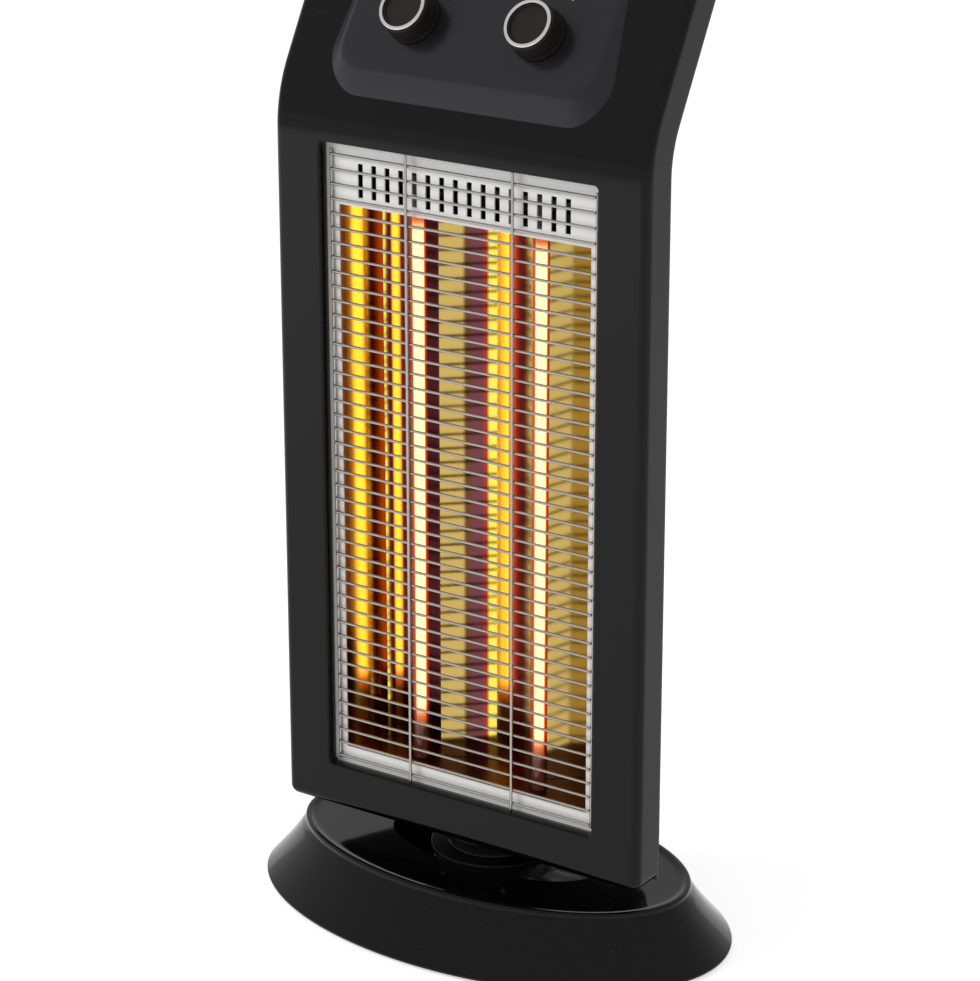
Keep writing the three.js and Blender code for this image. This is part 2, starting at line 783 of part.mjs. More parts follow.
function rearCover() {
  const flange = solid(bentSolid(slab(halfWidth - flangeInset, flangeDepth, flangeDepth + coverWall),
    housingBottom + flangeInset, faceEnd - flangeInset));
  const inFront = solid(bentSolid(slab(2 * halfWidth, -bendRadius, flangeDepth), 0, faceEnd + bendRadius));
  const humpOuter = solid(new THREE.ExtrudeGeometry(humpPlan(0), {
    depth: humpHeight - 2 * humpRound,
    bevelThickness: humpRound,
    bevelSize: humpRound,
    bevelOffset: -humpRound,
    bevelSegments: 2,
    curveSegments: 4,
  }).translate(0, 0, humpBottom + humpRound));
  const humpInner = solid(extrude(humpPlan(coverWall), humpBottom + coverWall, humpTop - coverWall, 4));
  const gripTop = gripBottom + gripHeight;
  const pocket = solid(box([-gripWidth / 2 - coverWall, gripWidth / 2 + coverWall],
    [humpBack - gripDepth - coverWall, humpBack - coverWall / 2],
    [gripBottom - coverWall, gripTop + gripUndercut + coverWall]));
  const mouth = solid(box([-gripWidth / 2, gripWidth / 2], [humpBack - gripDepth, humpBack + past],
    [gripBottom, gripTop]));
  const undercut = solid(box([-gripWidth / 2, gripWidth / 2], [humpBack - gripDepth, humpBack - gripLip],
    [gripTop - gripUndercut, gripTop + gripUndercut]));
  const screwHoles = coverScrewPlaces().map(([x, z]) =>
    solid(alongDepth(screwRadius + screwClearance, flangeDepth - past, flangeDepth + coverWall + past, x, z)));
  const neckHoles = drill(neckScrewPlaces(), screwRadius + screwClearance, humpBottom, humpBottom + coverWall);
  const wireHole = drill([[0, wireHoleBehind]], wireHoleRadius, humpBottom, humpBottom + coverWall, midSides);
  const shell = flange.add(humpOuter.subtract(inFront)).subtract(humpInner).add(pocket);
  return geometryOf(cut(shell, [mouth, undercut, ...wireHole, ...neckHoles, ...screwHoles,
    ...ventSlots(upperVentRows, upperVentBottom), ...ventSlots(lowerVentRows, lowerVentBottom)]));
}

function coverScrew([x, z]) {
  const seat = flangeDepth + coverWall + gap;
  return screw(coverScrewHeadRadius, coverScrewHeadHeight, -seat, coverScrewLength - seat)
    .rotateX(Math.PI / 2).translate(x, -faceAhead, z);
}

function bodyBracket() {
  const seat = Math.max(housingBottom + bezelWall, humpBottom + coverWall) + gap;
  const plate = solid(box([-bodyBracketHalfWidth, bodyBracketHalfWidth], [-bodyBracketFront, bodyBracketBack],
    [seat, seat + bodyBracketSheet]));
  const holes = drill(neckScrewPlaces(), screwRadius + screwClearance, seat, seat);
  const wireHole = drill([[0, wireHoleBehind]], wireHoleRadius, seat, seat, midSides);
  return geometryOf(cut(plate, [...holes, ...wireHole]));
}

function terminalBlock() {
  const seat = Math.max(housingBottom + bezelWall, humpBottom + coverWall) + bodyBracketSheet + 2 * gap;
  return box([terminalFrom, terminalFrom + terminalLength], [-terminalWidth / 2, terminalWidth / 2],
    [seat, seat + terminalHeight]);
}

// ---------------------------------------------------------------- console and knobs

// Wedge whose sides flare towards the face, before the face is cut from its back
function consoleBlock(inset) {
  const shape = roundedRectangle([-consoleHalfWidth, consoleHalfWidth], [0, consoleHeight],
    consoleLowerRadius, consoleUpperRadius);
  const core = flareDepth;
  return onConsole(new THREE.ExtrudeGeometry(shape, {
    depth: core,
    curveSegments: 3,
    bevelThickness: flareDepth,
    bevelSize: flareRun,
    bevelOffset: -inset,
    bevelSegments: 1,
  }).translate(0, 0, -core - flareDepth - inset));
}

function controlConsole() {
  const behind = slab(2 * halfWidth, -gap, bendRadius / 2);
  const housing = solid(bentSolid(behind, housingBottom, faceEnd + bendRadius));
  const shell = solid(consoleBlock(0)).subtract(solid(consoleBlock(consoleWall)));
  const holes = bushingHoles(bezelDepth).map((hole) => solid(onConsole(hole)));
  return geometryOf(cut(shell.subtract(housing), holes));
}

function knob(x) {
  const bore = shaftRadius + shaftFit;
  const dishRadius = ringInnerRadius - gap;
  const collar = knobHeight + ringHeight / 2;
  return onConsole(revolve([[0, knobBoreDepth], [bore, knobBoreDepth], [bore, knobClearance],
    [knobBaseRadius, knobClearance], [knobBaseRadius, knobClearance + knobFoot], [knobTopRadius, knobHeight],
    [dishRadius, knobHeight], [dishRadius, collar], [dishRadius - edgeBreak, collar],
    [dishRadius - dishDepth * 2, knobHeight - dishDepth], [0, knobHeight - dishDepth]], wideSides)
    .translate(x, knobUp, 0));
}

function knobRing(x) {
  const low = knobHeight + gap;
  const high = low + ringHeight;
  return onConsole(revolve([[ringInnerRadius, low], [ringOuterRadius, low], [ringOuterRadius, high - edgeBreak],
    [ringOuterRadius - edgeBreak, high], [ringInnerRadius, high], [ringInnerRadius, low]], wideSides)
    .translate(x, knobUp, 0));
}

function switchBack() {
  return -bracketBehind - bracketThickness - gap;
}

function switchShaft(x) {
  const inner = switchBack() - switchBoreDepth + gap;
  return onConsole(cylinder(shaftRadius, inner, knobBoreDepth - gap).translate(x, knobUp, 0));
}

function rotarySwitch(x) {
  const top = switchBack();
  const bore = shaftRadius + gap;
  const nose = top + bushingLength;
  const boreEnd = top - switchBoreDepth;
  return onConsole(revolve([[0, top - switchDepth], [switchRadius, top - switchDepth], [switchRadius, top],
    [bushingRadius, top], [bushingRadius, nose], [bore, nose], [bore, boreEnd], [0, boreEnd]], smallSides)
    .translate(x, knobUp, 0));
}

function switchBracket() {
  const plate = solid(box([-bracketHalfWidth, bracketHalfWidth],
    [knobUp - bracketHalfHeight, knobUp + bracketHalfHeight],
    [-bracketBehind - bracketThickness, -bracketBehind]));
  const holes = bushingHoles(bracketBehind + bracketThickness + past).map(solid);
  return onConsole(geometryOf(cut(plate, holes)));
}

// ---------------------------------------------------------------- reflector

// Stand a section drawn as (x, depth behind the face) upright between two heights
function upright(shape, z0, z1) {
  return extrude(shape, z0, z1).translate(0, -faceAhead, 0);
}

function reflectorFrame() {
  const half = windowWidth / 2 + lipWall + frameOverlap;
  const low = windowBottom - lipWall - frameOverlap / 2;
  const high = windowTop + lipWall + frameOverlap / 2;
  const back = frameDepth + frameSheet;
  const sheet = solid(box([-half, half], [frameDepth - faceAhead, back - faceAhead], [low, high]));
  const mouth = solid(box([-mouthHalfWidth, mouthHalfWidth], [-faceAhead, 0], [mouthBottom, mouthTop]));
  const slots = [];
  for (let i = 0; i < slotCount; i += 1) {
    const x = (i - (slotCount - 1) / 2) * slotPitch;
    slots.push(solid(box([x - slotWidth / 2, x + slotWidth / 2], [-faceAhead, 0],
      [slotBottom, slotBottom + slotHeight])));
  }
  return geometryOf(cut(sheet, [mouth, ...slots]));
}

// The mirror's folds from the right-hand flange round to the left-hand one
function mirrorLine() {
  const right = [[mouthHalfWidth + mirrorFlange, mirrorDepth], [mouthHalfWidth, mirrorDepth],
    ...foldHalfWidths.map((half, i) => [half, foldDepths[i]])];
  const left = right.map(([x, depth]) => [-x, depth]).reverse();
  return [...right, [0, middleDepth], ...left];
}

function reflector() {
  return upright(foldedSheet(mirrorLine().reverse(), mirrorSheet), mouthBottom - mirrorOverhang,
    mouthTop + mirrorOverhang);
}

function endPlate(z0) {
  const deepest = Math.max(...foldDepths) + endPlateMargin;
  const front = mirrorDepth + gap;
  const frontHalf = mouthHalfWidth + mirrorFlange - endPlateInset;
  const backHalf = foldHalfWidths[0] + endPlateMargin;
  const plate = solid(upright(outline([[-frontHalf, front], [frontHalf, front], [backHalf, deepest],
    [-backHalf, deepest]]), z0, z0 + endPlateSheet));
  const places = tubePlaces().map((x) => [x, tubeY]);
  const holes = drill(places, glassRadius + capClearance * 2, z0, z0 + endPlateSheet, midSides);
  return geometryOf(cut(plate, holes));
}

function heatShield() {
  const line = [[shieldHalfFront, mirrorDepth], [shieldHalfBack, shieldDepth], [-shieldHalfBack, shieldDepth],
    [-shieldHalfFront, mirrorDepth]];
  return upright(foldedSheet(line.reverse(), shieldSheet), mouthBottom - shieldOverhang,
    mouthTop + shieldOverhang);
}

function thermalCutout() {
  const seat = shieldDepth + shieldSheet + gap;
  return alongDepth(cutoutRadius, seat, seat + cutoutHeight, 0, cutoutAt, midSides);
}

// ---------------------------------------------------------------- quartz tubes

const lowerPlate = mouthBottom - mirrorOverhang - gap - endPlateSheet;
const upperPlate = mouthTop + mirrorOverhang + gap;
const glassBottom = lowerPlate - gap - capGrip;
const glassTop = upperPlate + endPlateSheet + gap + capGrip;

function quartzTube(x) {
  return revolve(ringProfile(glassRadius - glassWall, glassRadius, glassBottom, glassTop), capSides)
    .translate(x, tubeY, 0);
}

function filament(x) {
  return cylinder(filamentRadius, glassBottom, glassTop).translate(x, tubeY, 0);
}

// Ceramic cap drawn with its mouth up, then turned for the upper end
function endCap(x, upper) {
  const inner = glassRadius + capClearance;
  const floor = -capClearance;
  const end = capGrip - capLength;
  const cap = revolve([[0, end], [capRadius - edgeBreak, end], [capRadius, end + edgeBreak],
    [capRadius, capGrip], [inner, capGrip], [inner, floor], [0, floor]], capSides);
  return upper
    ? cap.rotateX(Math.PI).translate(x, tubeY, glassTop)
    : cap.translate(x, tubeY, glassBottom);
}

// Sleeve round a cap with a flange against the reflector's end plate
function capClip(x, upper) {
  const inner = capRadius + capClearance;
  const outer = inner + clipWall;
  const clip = revolve([[inner, -clipLength], [outer, -clipLength], [outer, -clipWall], [clipFlange, -clipWall],
    [clipFlange, 0], [inner, 0], [inner, -clipLength]], capSides);
  return upper
    ? clip.rotateX(Math.PI).translate(x, tubeY, upperPlate + endPlateSheet + gap)
    : clip.translate(x, tubeY, lowerPlate - gap);
}

// ---------------------------------------------------------------- wire guard

function guard() {
  const crossing = 2 * wireRadius - weldDepth;
  const depth = frameDepth - gap - wireRadius - crossing;
  const wires = [];
  for (let i = 0; i < wireCount; i += 1) {
    wires.push(solid(cylinder(wireRadius, -guardHalfWidth, guardHalfWidth, wireSides).rotateY(Math.PI / 2)
      .translate(0, depth - faceAhead, lowestWire + i * wirePitch)));
  }
  const highest = lowestWire + (wireCount - 1) * wirePitch;
  const sides = [-guardHalfWidth, guardHalfWidth].map((x) =>
    solid(cylinder(wireRadius, lowestWire - sideOverhang, highest + sideOverhang, wireSides)
      .translate(x, depth + crossing - faceAhead, 0)));
  const uprights = [-uprightSpacing / 2, uprightSpacing / 2].map((x) =>
    solid(cylinder(wireRadius, windowBottom + gap, windowTop - gap, wireSides)
      .translate(x, depth - crossing - faceAhead, 0)));
  return geometryOf(join([...uprights, ...sides, ...wires]));
}

// ---------------------------------------------------------------- assembly

const heater = new THREE.Group();

const finishes = {
  glossBlack: { color: 0x17171a, roughness: 0.18, metalness: 0 },
  consoleBlack: { color: 0x24242a, roughness: 0.35, metalness: 0 },
  mattBlack: { color: 0x1b1b1b, roughness: 0.7, metalness: 0 },
  rubber: { color: 0x101010, roughness: 0.9, metalness: 0 },
  brightPlate: { color: 0xe4e5e6, roughness: 0.35, metalness: 0.6 },
  mirror: { color: 0xd9b36a, roughness: 0.12, metalness: 1 },
  zinc: { color: 0x9fa3a6, roughness: 0.4, metalness: 1 },
  steelWire: { color: 0xd8d6d0, roughness: 0.3, metalness: 0.9 },
  chrome: { color: 0xd0d0d2, roughness: 0.15, metalness: 1 },
  quartz: { color: 0xffe3a8, roughness: 0.05, metalness: 0 },
  glow: { color: 0xffc257, roughness: 0.5, metalness: 0 },
  ceramic: { color: 0xe9e4d8, roughness: 0.7, metalness: 0 },
  nylon: { color: 0xd8d5cb, roughness: 0.5, metalness: 0 },
  phenolic: { color: 0x3a2a22, roughness: 0.5, metalness: 0 },
};

function add(name, geometry, finish) {
  const mesh = new THREE.Mesh(geometry, new THREE.MeshStandardMaterial(finishes[finish]));
  mesh.name = name;
  heater.add(mesh);
}

function addBase() {
  add('base_cover', baseCover(), 'glossBlack');
  add('base_plate', basePlate(), 'mattBlack');
  add('cord_inlet', inletBush(), 'rubber');
  corners(footSpanX, footSpanY).forEach(([x, y], i) => {
    add(`foot_${i + 1}`, foot().translate(x, y, 0), 'rubber');
  });
  corners(bossSpanX, bossSpanY).forEach(([x, y], i) => {
    add(`base_screw_${i + 1}`, plateScrew().translate(x, y, 0), 'zinc');
  });
  add('tip_plunger', tipPlunger(), 'nylon');
  add('tip_switch', tipSwitch(), 'phenolic');
  add('swing_motor', swingMotor(), 'zinc');
  add('motor_crank', motorCrank(), 'nylon');
  add('pivot_bush', pivotBush(), 'nylon');
}

function addNeck() {
  add('swing_arm', swingArm(), 'zinc');
  add('swivel_neck', swivelNeck(), 'mattBlack');
  neckScrewPlaces().forEach(([x, y], i) => {
    add(`neck_screw_${i + 1}`, neckScrew().translate(x, y, 0), 'zinc');
  });
}

function addHousing() {
  add('front_bezel', frontBezel(), 'glossBlack');
  add('rear_cover', rearCover(), 'mattBlack');
  coverScrewPlaces().forEach((place, i) => {
    add(`cover_screw_${i + 1}`, coverScrew(place), 'zinc');
  });
  add('body_bracket', bodyBracket(), 'zinc');
  add('terminal_block', terminalBlock(), 'ceramic');
}

function addControls() {
  add('control_console', controlConsole(), 'consoleBlack');
  add('switch_bracket', switchBracket(), 'zinc');
  ['left', 'right'].forEach((side, i) => {
    const x = knobPlaces()[i];
    add(`knob_${side}`, knob(x), 'glossBlack');
    add(`knob_ring_${side}`, knobRing(x), 'chrome');
    add(`switch_shaft_${side}`, switchShaft(x), 'zinc');
    add(`rotary_switch_${side}`, rotarySwitch(x), 'phenolic');
  });
}

function addHeater() {
  add('reflector_frame', reflectorFrame(), 'brightPlate');
  add('reflector', reflector(), 'mirror');
  add('reflector_end_lower', endPlate(lowerPlate), 'brightPlate');
  add('reflector_end_upper', endPlate(upperPlate), 'brightPlate');
  add('heat_shield', heatShield(), 'zinc');
  add('thermal_cutout', thermalCutout(), 'phenolic');
  add('guard', guard(), 'steelWire');
  ['left', 'right'].forEach((side, i) => {
    const x = tubePlaces()[i];
    add(`quartz_tube_${side}`, quartzTube(x), 'quartz');
    add(`filament_${side}`, filament(x), 'glow');
    ['lower', 'upper'].forEach((end, j) => {
      add(`end_cap_${side}_${end}`, endCap(x, j === 1), 'ceramic');
      add(`cap_clip_${side}_${end}`, capClip(x, j === 1), 'zinc');
    });
  });
}

addBase();
addNeck();
addHousing();
addControls();
addHeater();

export default heater;
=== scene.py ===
"""Looks of an upright radiant heater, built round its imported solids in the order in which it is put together:
base, swivel, housing, reflector, tubes, guard, console and knobs."""

import math

import bmesh
import bpy
import numpy as np
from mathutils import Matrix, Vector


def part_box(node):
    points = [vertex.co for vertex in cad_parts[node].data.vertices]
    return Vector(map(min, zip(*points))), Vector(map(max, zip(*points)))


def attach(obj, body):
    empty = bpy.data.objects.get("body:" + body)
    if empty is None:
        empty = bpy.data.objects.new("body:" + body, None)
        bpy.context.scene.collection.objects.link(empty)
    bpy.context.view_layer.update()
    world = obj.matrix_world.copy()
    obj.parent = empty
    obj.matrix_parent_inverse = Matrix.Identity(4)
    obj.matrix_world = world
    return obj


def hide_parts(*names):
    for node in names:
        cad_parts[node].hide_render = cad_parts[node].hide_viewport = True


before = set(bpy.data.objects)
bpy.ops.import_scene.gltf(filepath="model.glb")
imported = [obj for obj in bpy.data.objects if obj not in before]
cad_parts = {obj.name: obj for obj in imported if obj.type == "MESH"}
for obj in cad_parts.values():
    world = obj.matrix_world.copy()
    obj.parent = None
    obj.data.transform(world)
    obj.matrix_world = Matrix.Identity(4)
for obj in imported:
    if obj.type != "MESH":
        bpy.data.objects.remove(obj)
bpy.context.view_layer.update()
scene = bpy.context.scene

# ---------------------------------------------------------------- studio
# A white floor and a white surround, one long soft lamp from the left and a weaker one from the right.
# The camera, reflections and glass all see the same white floor and white surround. The lamps themselves show in
# no reflection.

scene.view_settings.view_transform = "Standard"

camera_turn = math.radians(34.12)
camera_dip = math.radians(19.5)
camera_focus_px, frame_px = 3324.5, 981
camera = bpy.data.objects.new("camera", bpy.data.cameras.new("camera"))
camera.data.sensor_width = 36
camera.data.lens = camera_focus_px * camera.data.sensor_width / frame_px
camera.data.clip_end = 50
camera.location = (1.17831, -1.74441, 1.05254)
camera.rotation_euler = (math.pi / 2 - camera_dip, 0, camera_turn)
scene.collection.objects.link(camera)
scene.camera = camera


def soft_lamp(name, place, aim, size, power):
    """A rectangular lamp at place that faces the point aim."""
    data = bpy.data.lights.new(name, "AREA")
    data.shape = "RECTANGLE"
    data.size, data.size_y = size
    data.energy = power
    lamp = bpy.data.objects.new(name, data)
    lamp.location = place
    away = np.array(place, float) - np.array(aim, float)
    lamp.rotation_euler = (math.atan2(math.hypot(away[0], away[1]), away[2]), 0,
                           math.atan2(away[0], -away[1]))
    lamp.visible_glossy = False
    scene.collection.objects.link(lamp)


soft_lamp("left_softbox", (-1.9, -1.7, 1.7), (0, 0, 0.35), (1.4, 1.8), 44)
soft_lamp("right_softbox", (2.4, 0.5, 1.6), (0, 0, 0.3), (0.9, 1.6), 15)


def node_tree(owner):
    """The emptied node tree of a material or world."""
    owner.use_nodes = True
    owner.node_tree.nodes.clear()
    return owner.node_tree


def ramp(tree, value, start, end, low, high):
    """A value that runs from low to high while another runs from start to end, and stays at both ends."""
    made = tree.nodes.new("ShaderNodeMapRange")
    tree.links.new(value, made.inputs["Value"])
    for label, number in (("From Min", start), ("From Max", end), ("To Min", low), ("To Max", high)):
        made.inputs[label].default_value = number
    return made.outputs[0]


def combined(tree, how, a, b):
    """Two values put together by a Math node."""
    made = tree.nodes.new("ShaderNodeMath")
    made.operation = how
    tree.links.new(a, made.inputs[0])
    tree.links.new(b, made.inputs[1])
    return made.outputs[0]


def white_rays(tree):
    """1 for the rays that see the white background: from the camera, off gloss and through glass."""
    path = tree.nodes.new("ShaderNodeLightPath")
    seen = combined(tree, "MAXIMUM", path.outputs["Is Camera Ray"], path.outputs["Is Glossy Ray"])
    return combined(tree, "MAXIMUM", seen, path.outputs["Is Transmission Ray"])


world = bpy.data.worlds.new("surround")
scene.world = world
tree = node_tree(world)
ambient = tree.nodes.new("ShaderNodeBackground")
tree.links.new(ramp(tree, white_rays(tree), 0, 1, 0.55, 1.0), ambient.inputs["Strength"])
out = tree.nodes.new("ShaderNodeOutputWorld")
tree.links.new(ambient.outputs[0], out.inputs["Surface"])

floor_mesh = bpy.data.meshes.new("floor")
floor_half = 30
floor_mesh.from_pydata([(x * floor_half, y * floor_half, 0) for x, y in ((-1, -1), (1, -1), (1, 1), (-1, 1))],
                       [], [(0, 1, 2, 3)])
floor = bpy.data.objects.new("floor", floor_mesh)
scene.collection.objects.link(floor)
floor_paper = bpy.data.materials.new("floor_paper")
tree = node_tree(floor_paper)
paper = tree.nodes.new("ShaderNodeBsdfPrincipled")
paper.inputs["Base Color"].default_value = (0.9, 0.9, 0.9, 1)
paper.inputs["Roughness"].default_value = 0.9
paper.inputs["Specular IOR Level"].default_value = 0.1
tree.links.new(ramp(tree, white_rays(tree), 0, 1, 0.0, 0.56), paper.inputs["Emission Strength"])
paper.inputs["Emission Color"].default_value = (1, 1, 1, 1)
out = tree.nodes.new("ShaderNodeOutputMaterial")
tree.links.new(paper.outputs[0], out.inputs["Surface"])
floor_mesh.materials.append(floor_paper)

# ---------------------------------------------------------------- base cover
# The oval foot: one glossy black ABS moulding, an open shell with a thin rounded rim round its dished top.
# It is screwed to the base plate from below.

base_oval = 68  # half the width that the oval adds to a round cover
base_depth = 226  # from front to back over the foot of the skirt
base_rim = 84  # half depth of the oval at the rim
skirt_top, skirt_fall, skirt_hollow = 41.2, 37.4, 1.5
neck_hole = 37.4  # radius


def soften(profile, radius, steps=5):
    """Rounds the corners of a polyline: each corner V between A and B, both a radius or 45% of the side away,
    becomes the curve (1-t)^2 A + 2t(1-t) V + t^2 B."""
    points = np.array(profile, float)
    radii = np.broadcast_to(np.array(radius, float), len(points))
    t = np.linspace(0, 1, steps)[:, None]
    rounded = [points[:1]]
    for before, corner, after, r in zip(points, points[1:], points[2:], radii[1:]):
        back, on = before - corner, after - corner
        reach_back, reach_on = np.linalg.norm(back), np.linalg.norm(on)
        a = corner + back / reach_back * min(r, 0.45 * reach_back)
        b = corner + on / reach_on * min(r, 0.45 * reach_on)
        rounded.append((1 - t) ** 2 * a + 2 * t * (1 - t) * corner + t ** 2 * b)
    rounded.append(points[-1:])
    return np.concatenate(rounded)


def turn(profile, sides=64):
    """A profile of (radius, height) turned about Z: x = r cos a, y = r sin a."""
    r, z = np.array(profile, float).T
    a = np.linspace(0, 2 * math.pi, sides, endpoint=False)
    return np.stack([np.outer(r, np.cos(a)), np.outer(r, np.sin(a)), np.outer(z, np.ones(sides))], -1)


def skin(name, rows, around=True, end_to_end=False, sharp=40):
    """A mesh object from rows of points in millimetres: the quads between each row and the next.
    around closes each row on itself, and end_to_end joins the last row to the first."""
    rows = np.asarray(rows, float)
    m, n = rows.shape[:2]
    index = np.arange(m * n).reshape(m, n)
    if around:
        index = np.concatenate([index, index[:, :1]], 1)
    if end_to_end:
        index = np.concatenate([index, index[:1]], 0)
    quads = np.stack([index[:-1, :-1], index[:-1, 1:], index[1:, 1:], index[1:, :-1]], -1).reshape(-1, 4)
    mesh = bpy.data.meshes.new(name)
    mesh.from_pydata(rows.reshape(-1, 3) / 1000, [], quads.tolist())
    close_up(mesh)
    mesh.shade_smooth()
    mesh.set_sharp_from_angle(angle=math.radians(sharp))
    made = bpy.data.objects.new(name, mesh)
    scene.collection.objects.link(made)
    return made


def close_up(mesh):
    """Merges the points of seams and poles, and turns every face of the closed shell outwards."""
    work = bmesh.new()
    work.from_mesh(mesh)
    bmesh.ops.remove_doubles(work, verts=work.verts, dist=1e-6)
    bmesh.ops.dissolve_degenerate(work, edges=work.edges, dist=1e-7)
    bmesh.ops.recalc_face_normals(work, faces=work.faces)
    work.to_mesh(mesh)
    work.free()


def together(name, pieces):
    """One object from several meshes, with their own points."""
    work = bmesh.new()
    for piece in pieces:
        work.from_mesh(piece.data)
        bpy.data.objects.remove(piece)
    mesh = bpy.data.meshes.new(name)
    work.to_mesh(mesh)
    work.free()
    made = bpy.data.objects.new(name, mesh)
    scene.collection.objects.link(made)
    return made


def dress(piece, body, finish, slot, *nodes):
    """Gives a piece its finish and its place on a body, and hides the solids that it stands for."""
    piece.data.materials.clear()
    piece.data.materials.append(finish)
    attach(piece, body)
    if nodes:
        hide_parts(*nodes)
    return piece


def effect(name, inputs, outputs):
    """An empty shader group with named inputs (name, default) and outputs, and its two end nodes."""
    group = bpy.data.node_groups.new(name, "ShaderNodeTree")
    for label, value in inputs:
        group.interface.new_socket(label, in_out="INPUT", socket_type="NodeSocketFloat").default_value = value
    for label in outputs:
        group.interface.new_socket(label, in_out="OUTPUT", socket_type="NodeSocketFloat")
    return group, group.nodes.new("NodeGroupInput"), group.nodes.new("NodeGroupOutput")


# Moulded or rolled skin: fine ripple, and thin rubbed scratches
ripple, ripple_in, ripple_out = effect("skin_ripple", [("Size", 300), ("Scratch", 0.5)], ["Height", "Rub"])
place = ripple.nodes.new("ShaderNodeTexCoord")
peel = ripple.nodes.new("ShaderNodeTexNoise")
peel.inputs["Detail"].default_value = 3
ripple.links.new(place.outputs["Object"], peel.inputs["Vector"])
ripple.links.new(ripple_in.outputs["Size"], peel.inputs["Scale"])
ripple.links.new(peel.outputs[0], ripple_out.inputs["Height"])
stretch = ripple.nodes.new("ShaderNodeMapping")
stretch.inputs["Scale"].default_value = (260, 260, 9)
stretch.inputs["Rotation"].default_value = (0.2, 0.35, 0)
ripple.links.new(place.outputs["Object"], stretch.inputs["Vector"])
lines = ripple.nodes.new("ShaderNodeTexNoise")
lines.inputs["Scale"].default_value = 1.0
lines.inputs["Detail"].default_value = 4
ripple.links.new(stretch.outputs[0], lines.inputs["Vector"])
rub = combined(ripple, "MULTIPLY", ramp(ripple, lines.outputs[0], 0.62, 0.74, 0, 1), ripple_in.outputs["Scratch"])
ripple.links.new(rub, ripple_out.inputs["Rub"])

# House dust: specks that lie on what faces up, and a faint cloud of finger marks elsewhere
dust, dust_in, dust_out = effect("house_dust", [("Specks", 0.5), ("Smudges", 0.5)], ["Dust", "Smudge"])
place = dust.nodes.new("ShaderNodeTexCoord")
specks = dust.nodes.new("ShaderNodeTexNoise")
specks.inputs["Scale"].default_value = 420
specks.inputs["Detail"].default_value = 2
dust.links.new(place.outputs["Object"], specks.inputs["Vector"])
facing = dust.nodes.new("ShaderNodeNewGeometry")
split = dust.nodes.new("ShaderNodeSeparateXYZ")
dust.links.new(facing.outputs["Normal"], split.inputs[0])
lying = combined(dust, "MULTIPLY", ramp(dust, specks.outputs[0], 0.66, 0.8, 0, 1),
                 ramp(dust, split.outputs["Z"], 0.3, 0.95, 0, 1))
dust.links.new(combined(dust, "MULTIPLY", lying, dust_in.outputs["Specks"]), dust_out.inputs["Dust"])
cloud = dust.nodes.new("ShaderNodeTexNoise")
cloud.inputs["Scale"].default_value = 16
cloud.inputs["Detail"].default_value = 5
cloud.inputs["Distortion"].default_value = 0.6
dust.links.new(place.outputs["Object"], cloud.inputs["Vector"])
smudge = combined(dust, "MULTIPLY", ramp(dust, cloud.outputs[0], 0.52, 0.75, 0, 1), dust_in.outputs["Smudges"])
dust.links.new(smudge, dust_out.inputs["Smudge"])


worn_extra = 0.16  # roughness that a scratch or finger mark adds
dust_colour = (0.32, 0.31, 0.29, 1)


def moulded(name, colour, roughness, ripple_size, depth, scratch, specks, smudges, metallic=0.0, **sockets):
    """A finish with the skin ripple as bump, scratches and smudges as roughness, and dust over its colour."""
    finish = bpy.data.materials.new(name)
    nodes, links = node_tree(finish).nodes, finish.node_tree.links
    shader = nodes.new("ShaderNodeBsdfPrincipled")
    shader.inputs["Metallic"].default_value = metallic
    for label, value in sockets.items():
        shader.inputs[label.replace("_", " ")].default_value = value
    surface = nodes.new("ShaderNodeOutputMaterial")
    links.new(shader.outputs[0], surface.inputs["Surface"])
    grain = nodes.new("ShaderNodeGroup")
    grain.node_tree = ripple
    grain.inputs["Size"].default_value = ripple_size
    grain.inputs["Scratch"].default_value = scratch
    settled = nodes.new("ShaderNodeGroup")
    settled.node_tree = dust
    settled.inputs["Specks"].default_value = specks
    settled.inputs["Smudges"].default_value = smudges
    bump = nodes.new("ShaderNodeBump")
    bump.inputs["Strength"].default_value = 0.5
    bump.inputs["Distance"].default_value = depth
    links.new(grain.outputs["Height"], bump.inputs["Height"])
    links.new(bump.outputs[0], shader.inputs["Normal"])
    coat = nodes.new("ShaderNodeMix")
    coat.data_type = "RGBA"
    coat.inputs["A"].default_value = (*colour, 1)
    coat.inputs["B"].default_value = dust_colour
    links.new(settled.outputs["Dust"], coat.inputs["Factor"])
    links.new(coat.outputs["Result"], shader.inputs["Base Color"])
    worn = combined(finish.node_tree, "MAXIMUM", grain.outputs["Rub"], settled.outputs["Smudge"])
    rough = ramp(finish.node_tree, worn, 0, 1, roughness, min(roughness + worn_extra, 1))
    links.new(rough, shader.inputs["Roughness"])
    return finish


gloss_black = moulded("gloss_black", (0.0016, 0.0014, 0.0016), 0.09, 90, 0.00002, 0.12, 0.1, 0.35,
                      Specular_IOR_Level=0.18)


def stretched(rows):
    """Widens a round body into the oval one: x = (r + 68 min(4r / 226, 1)) cos a, and y stays."""
    rows = rows.copy()
    r = np.hypot(rows[..., 0], rows[..., 1])
    share = np.divide(rows[..., 0], r, out=np.zeros_like(r), where=r > 0)
    rows[..., 0] += share * base_oval * np.minimum(r * 4 / base_depth, 1)
    return rows


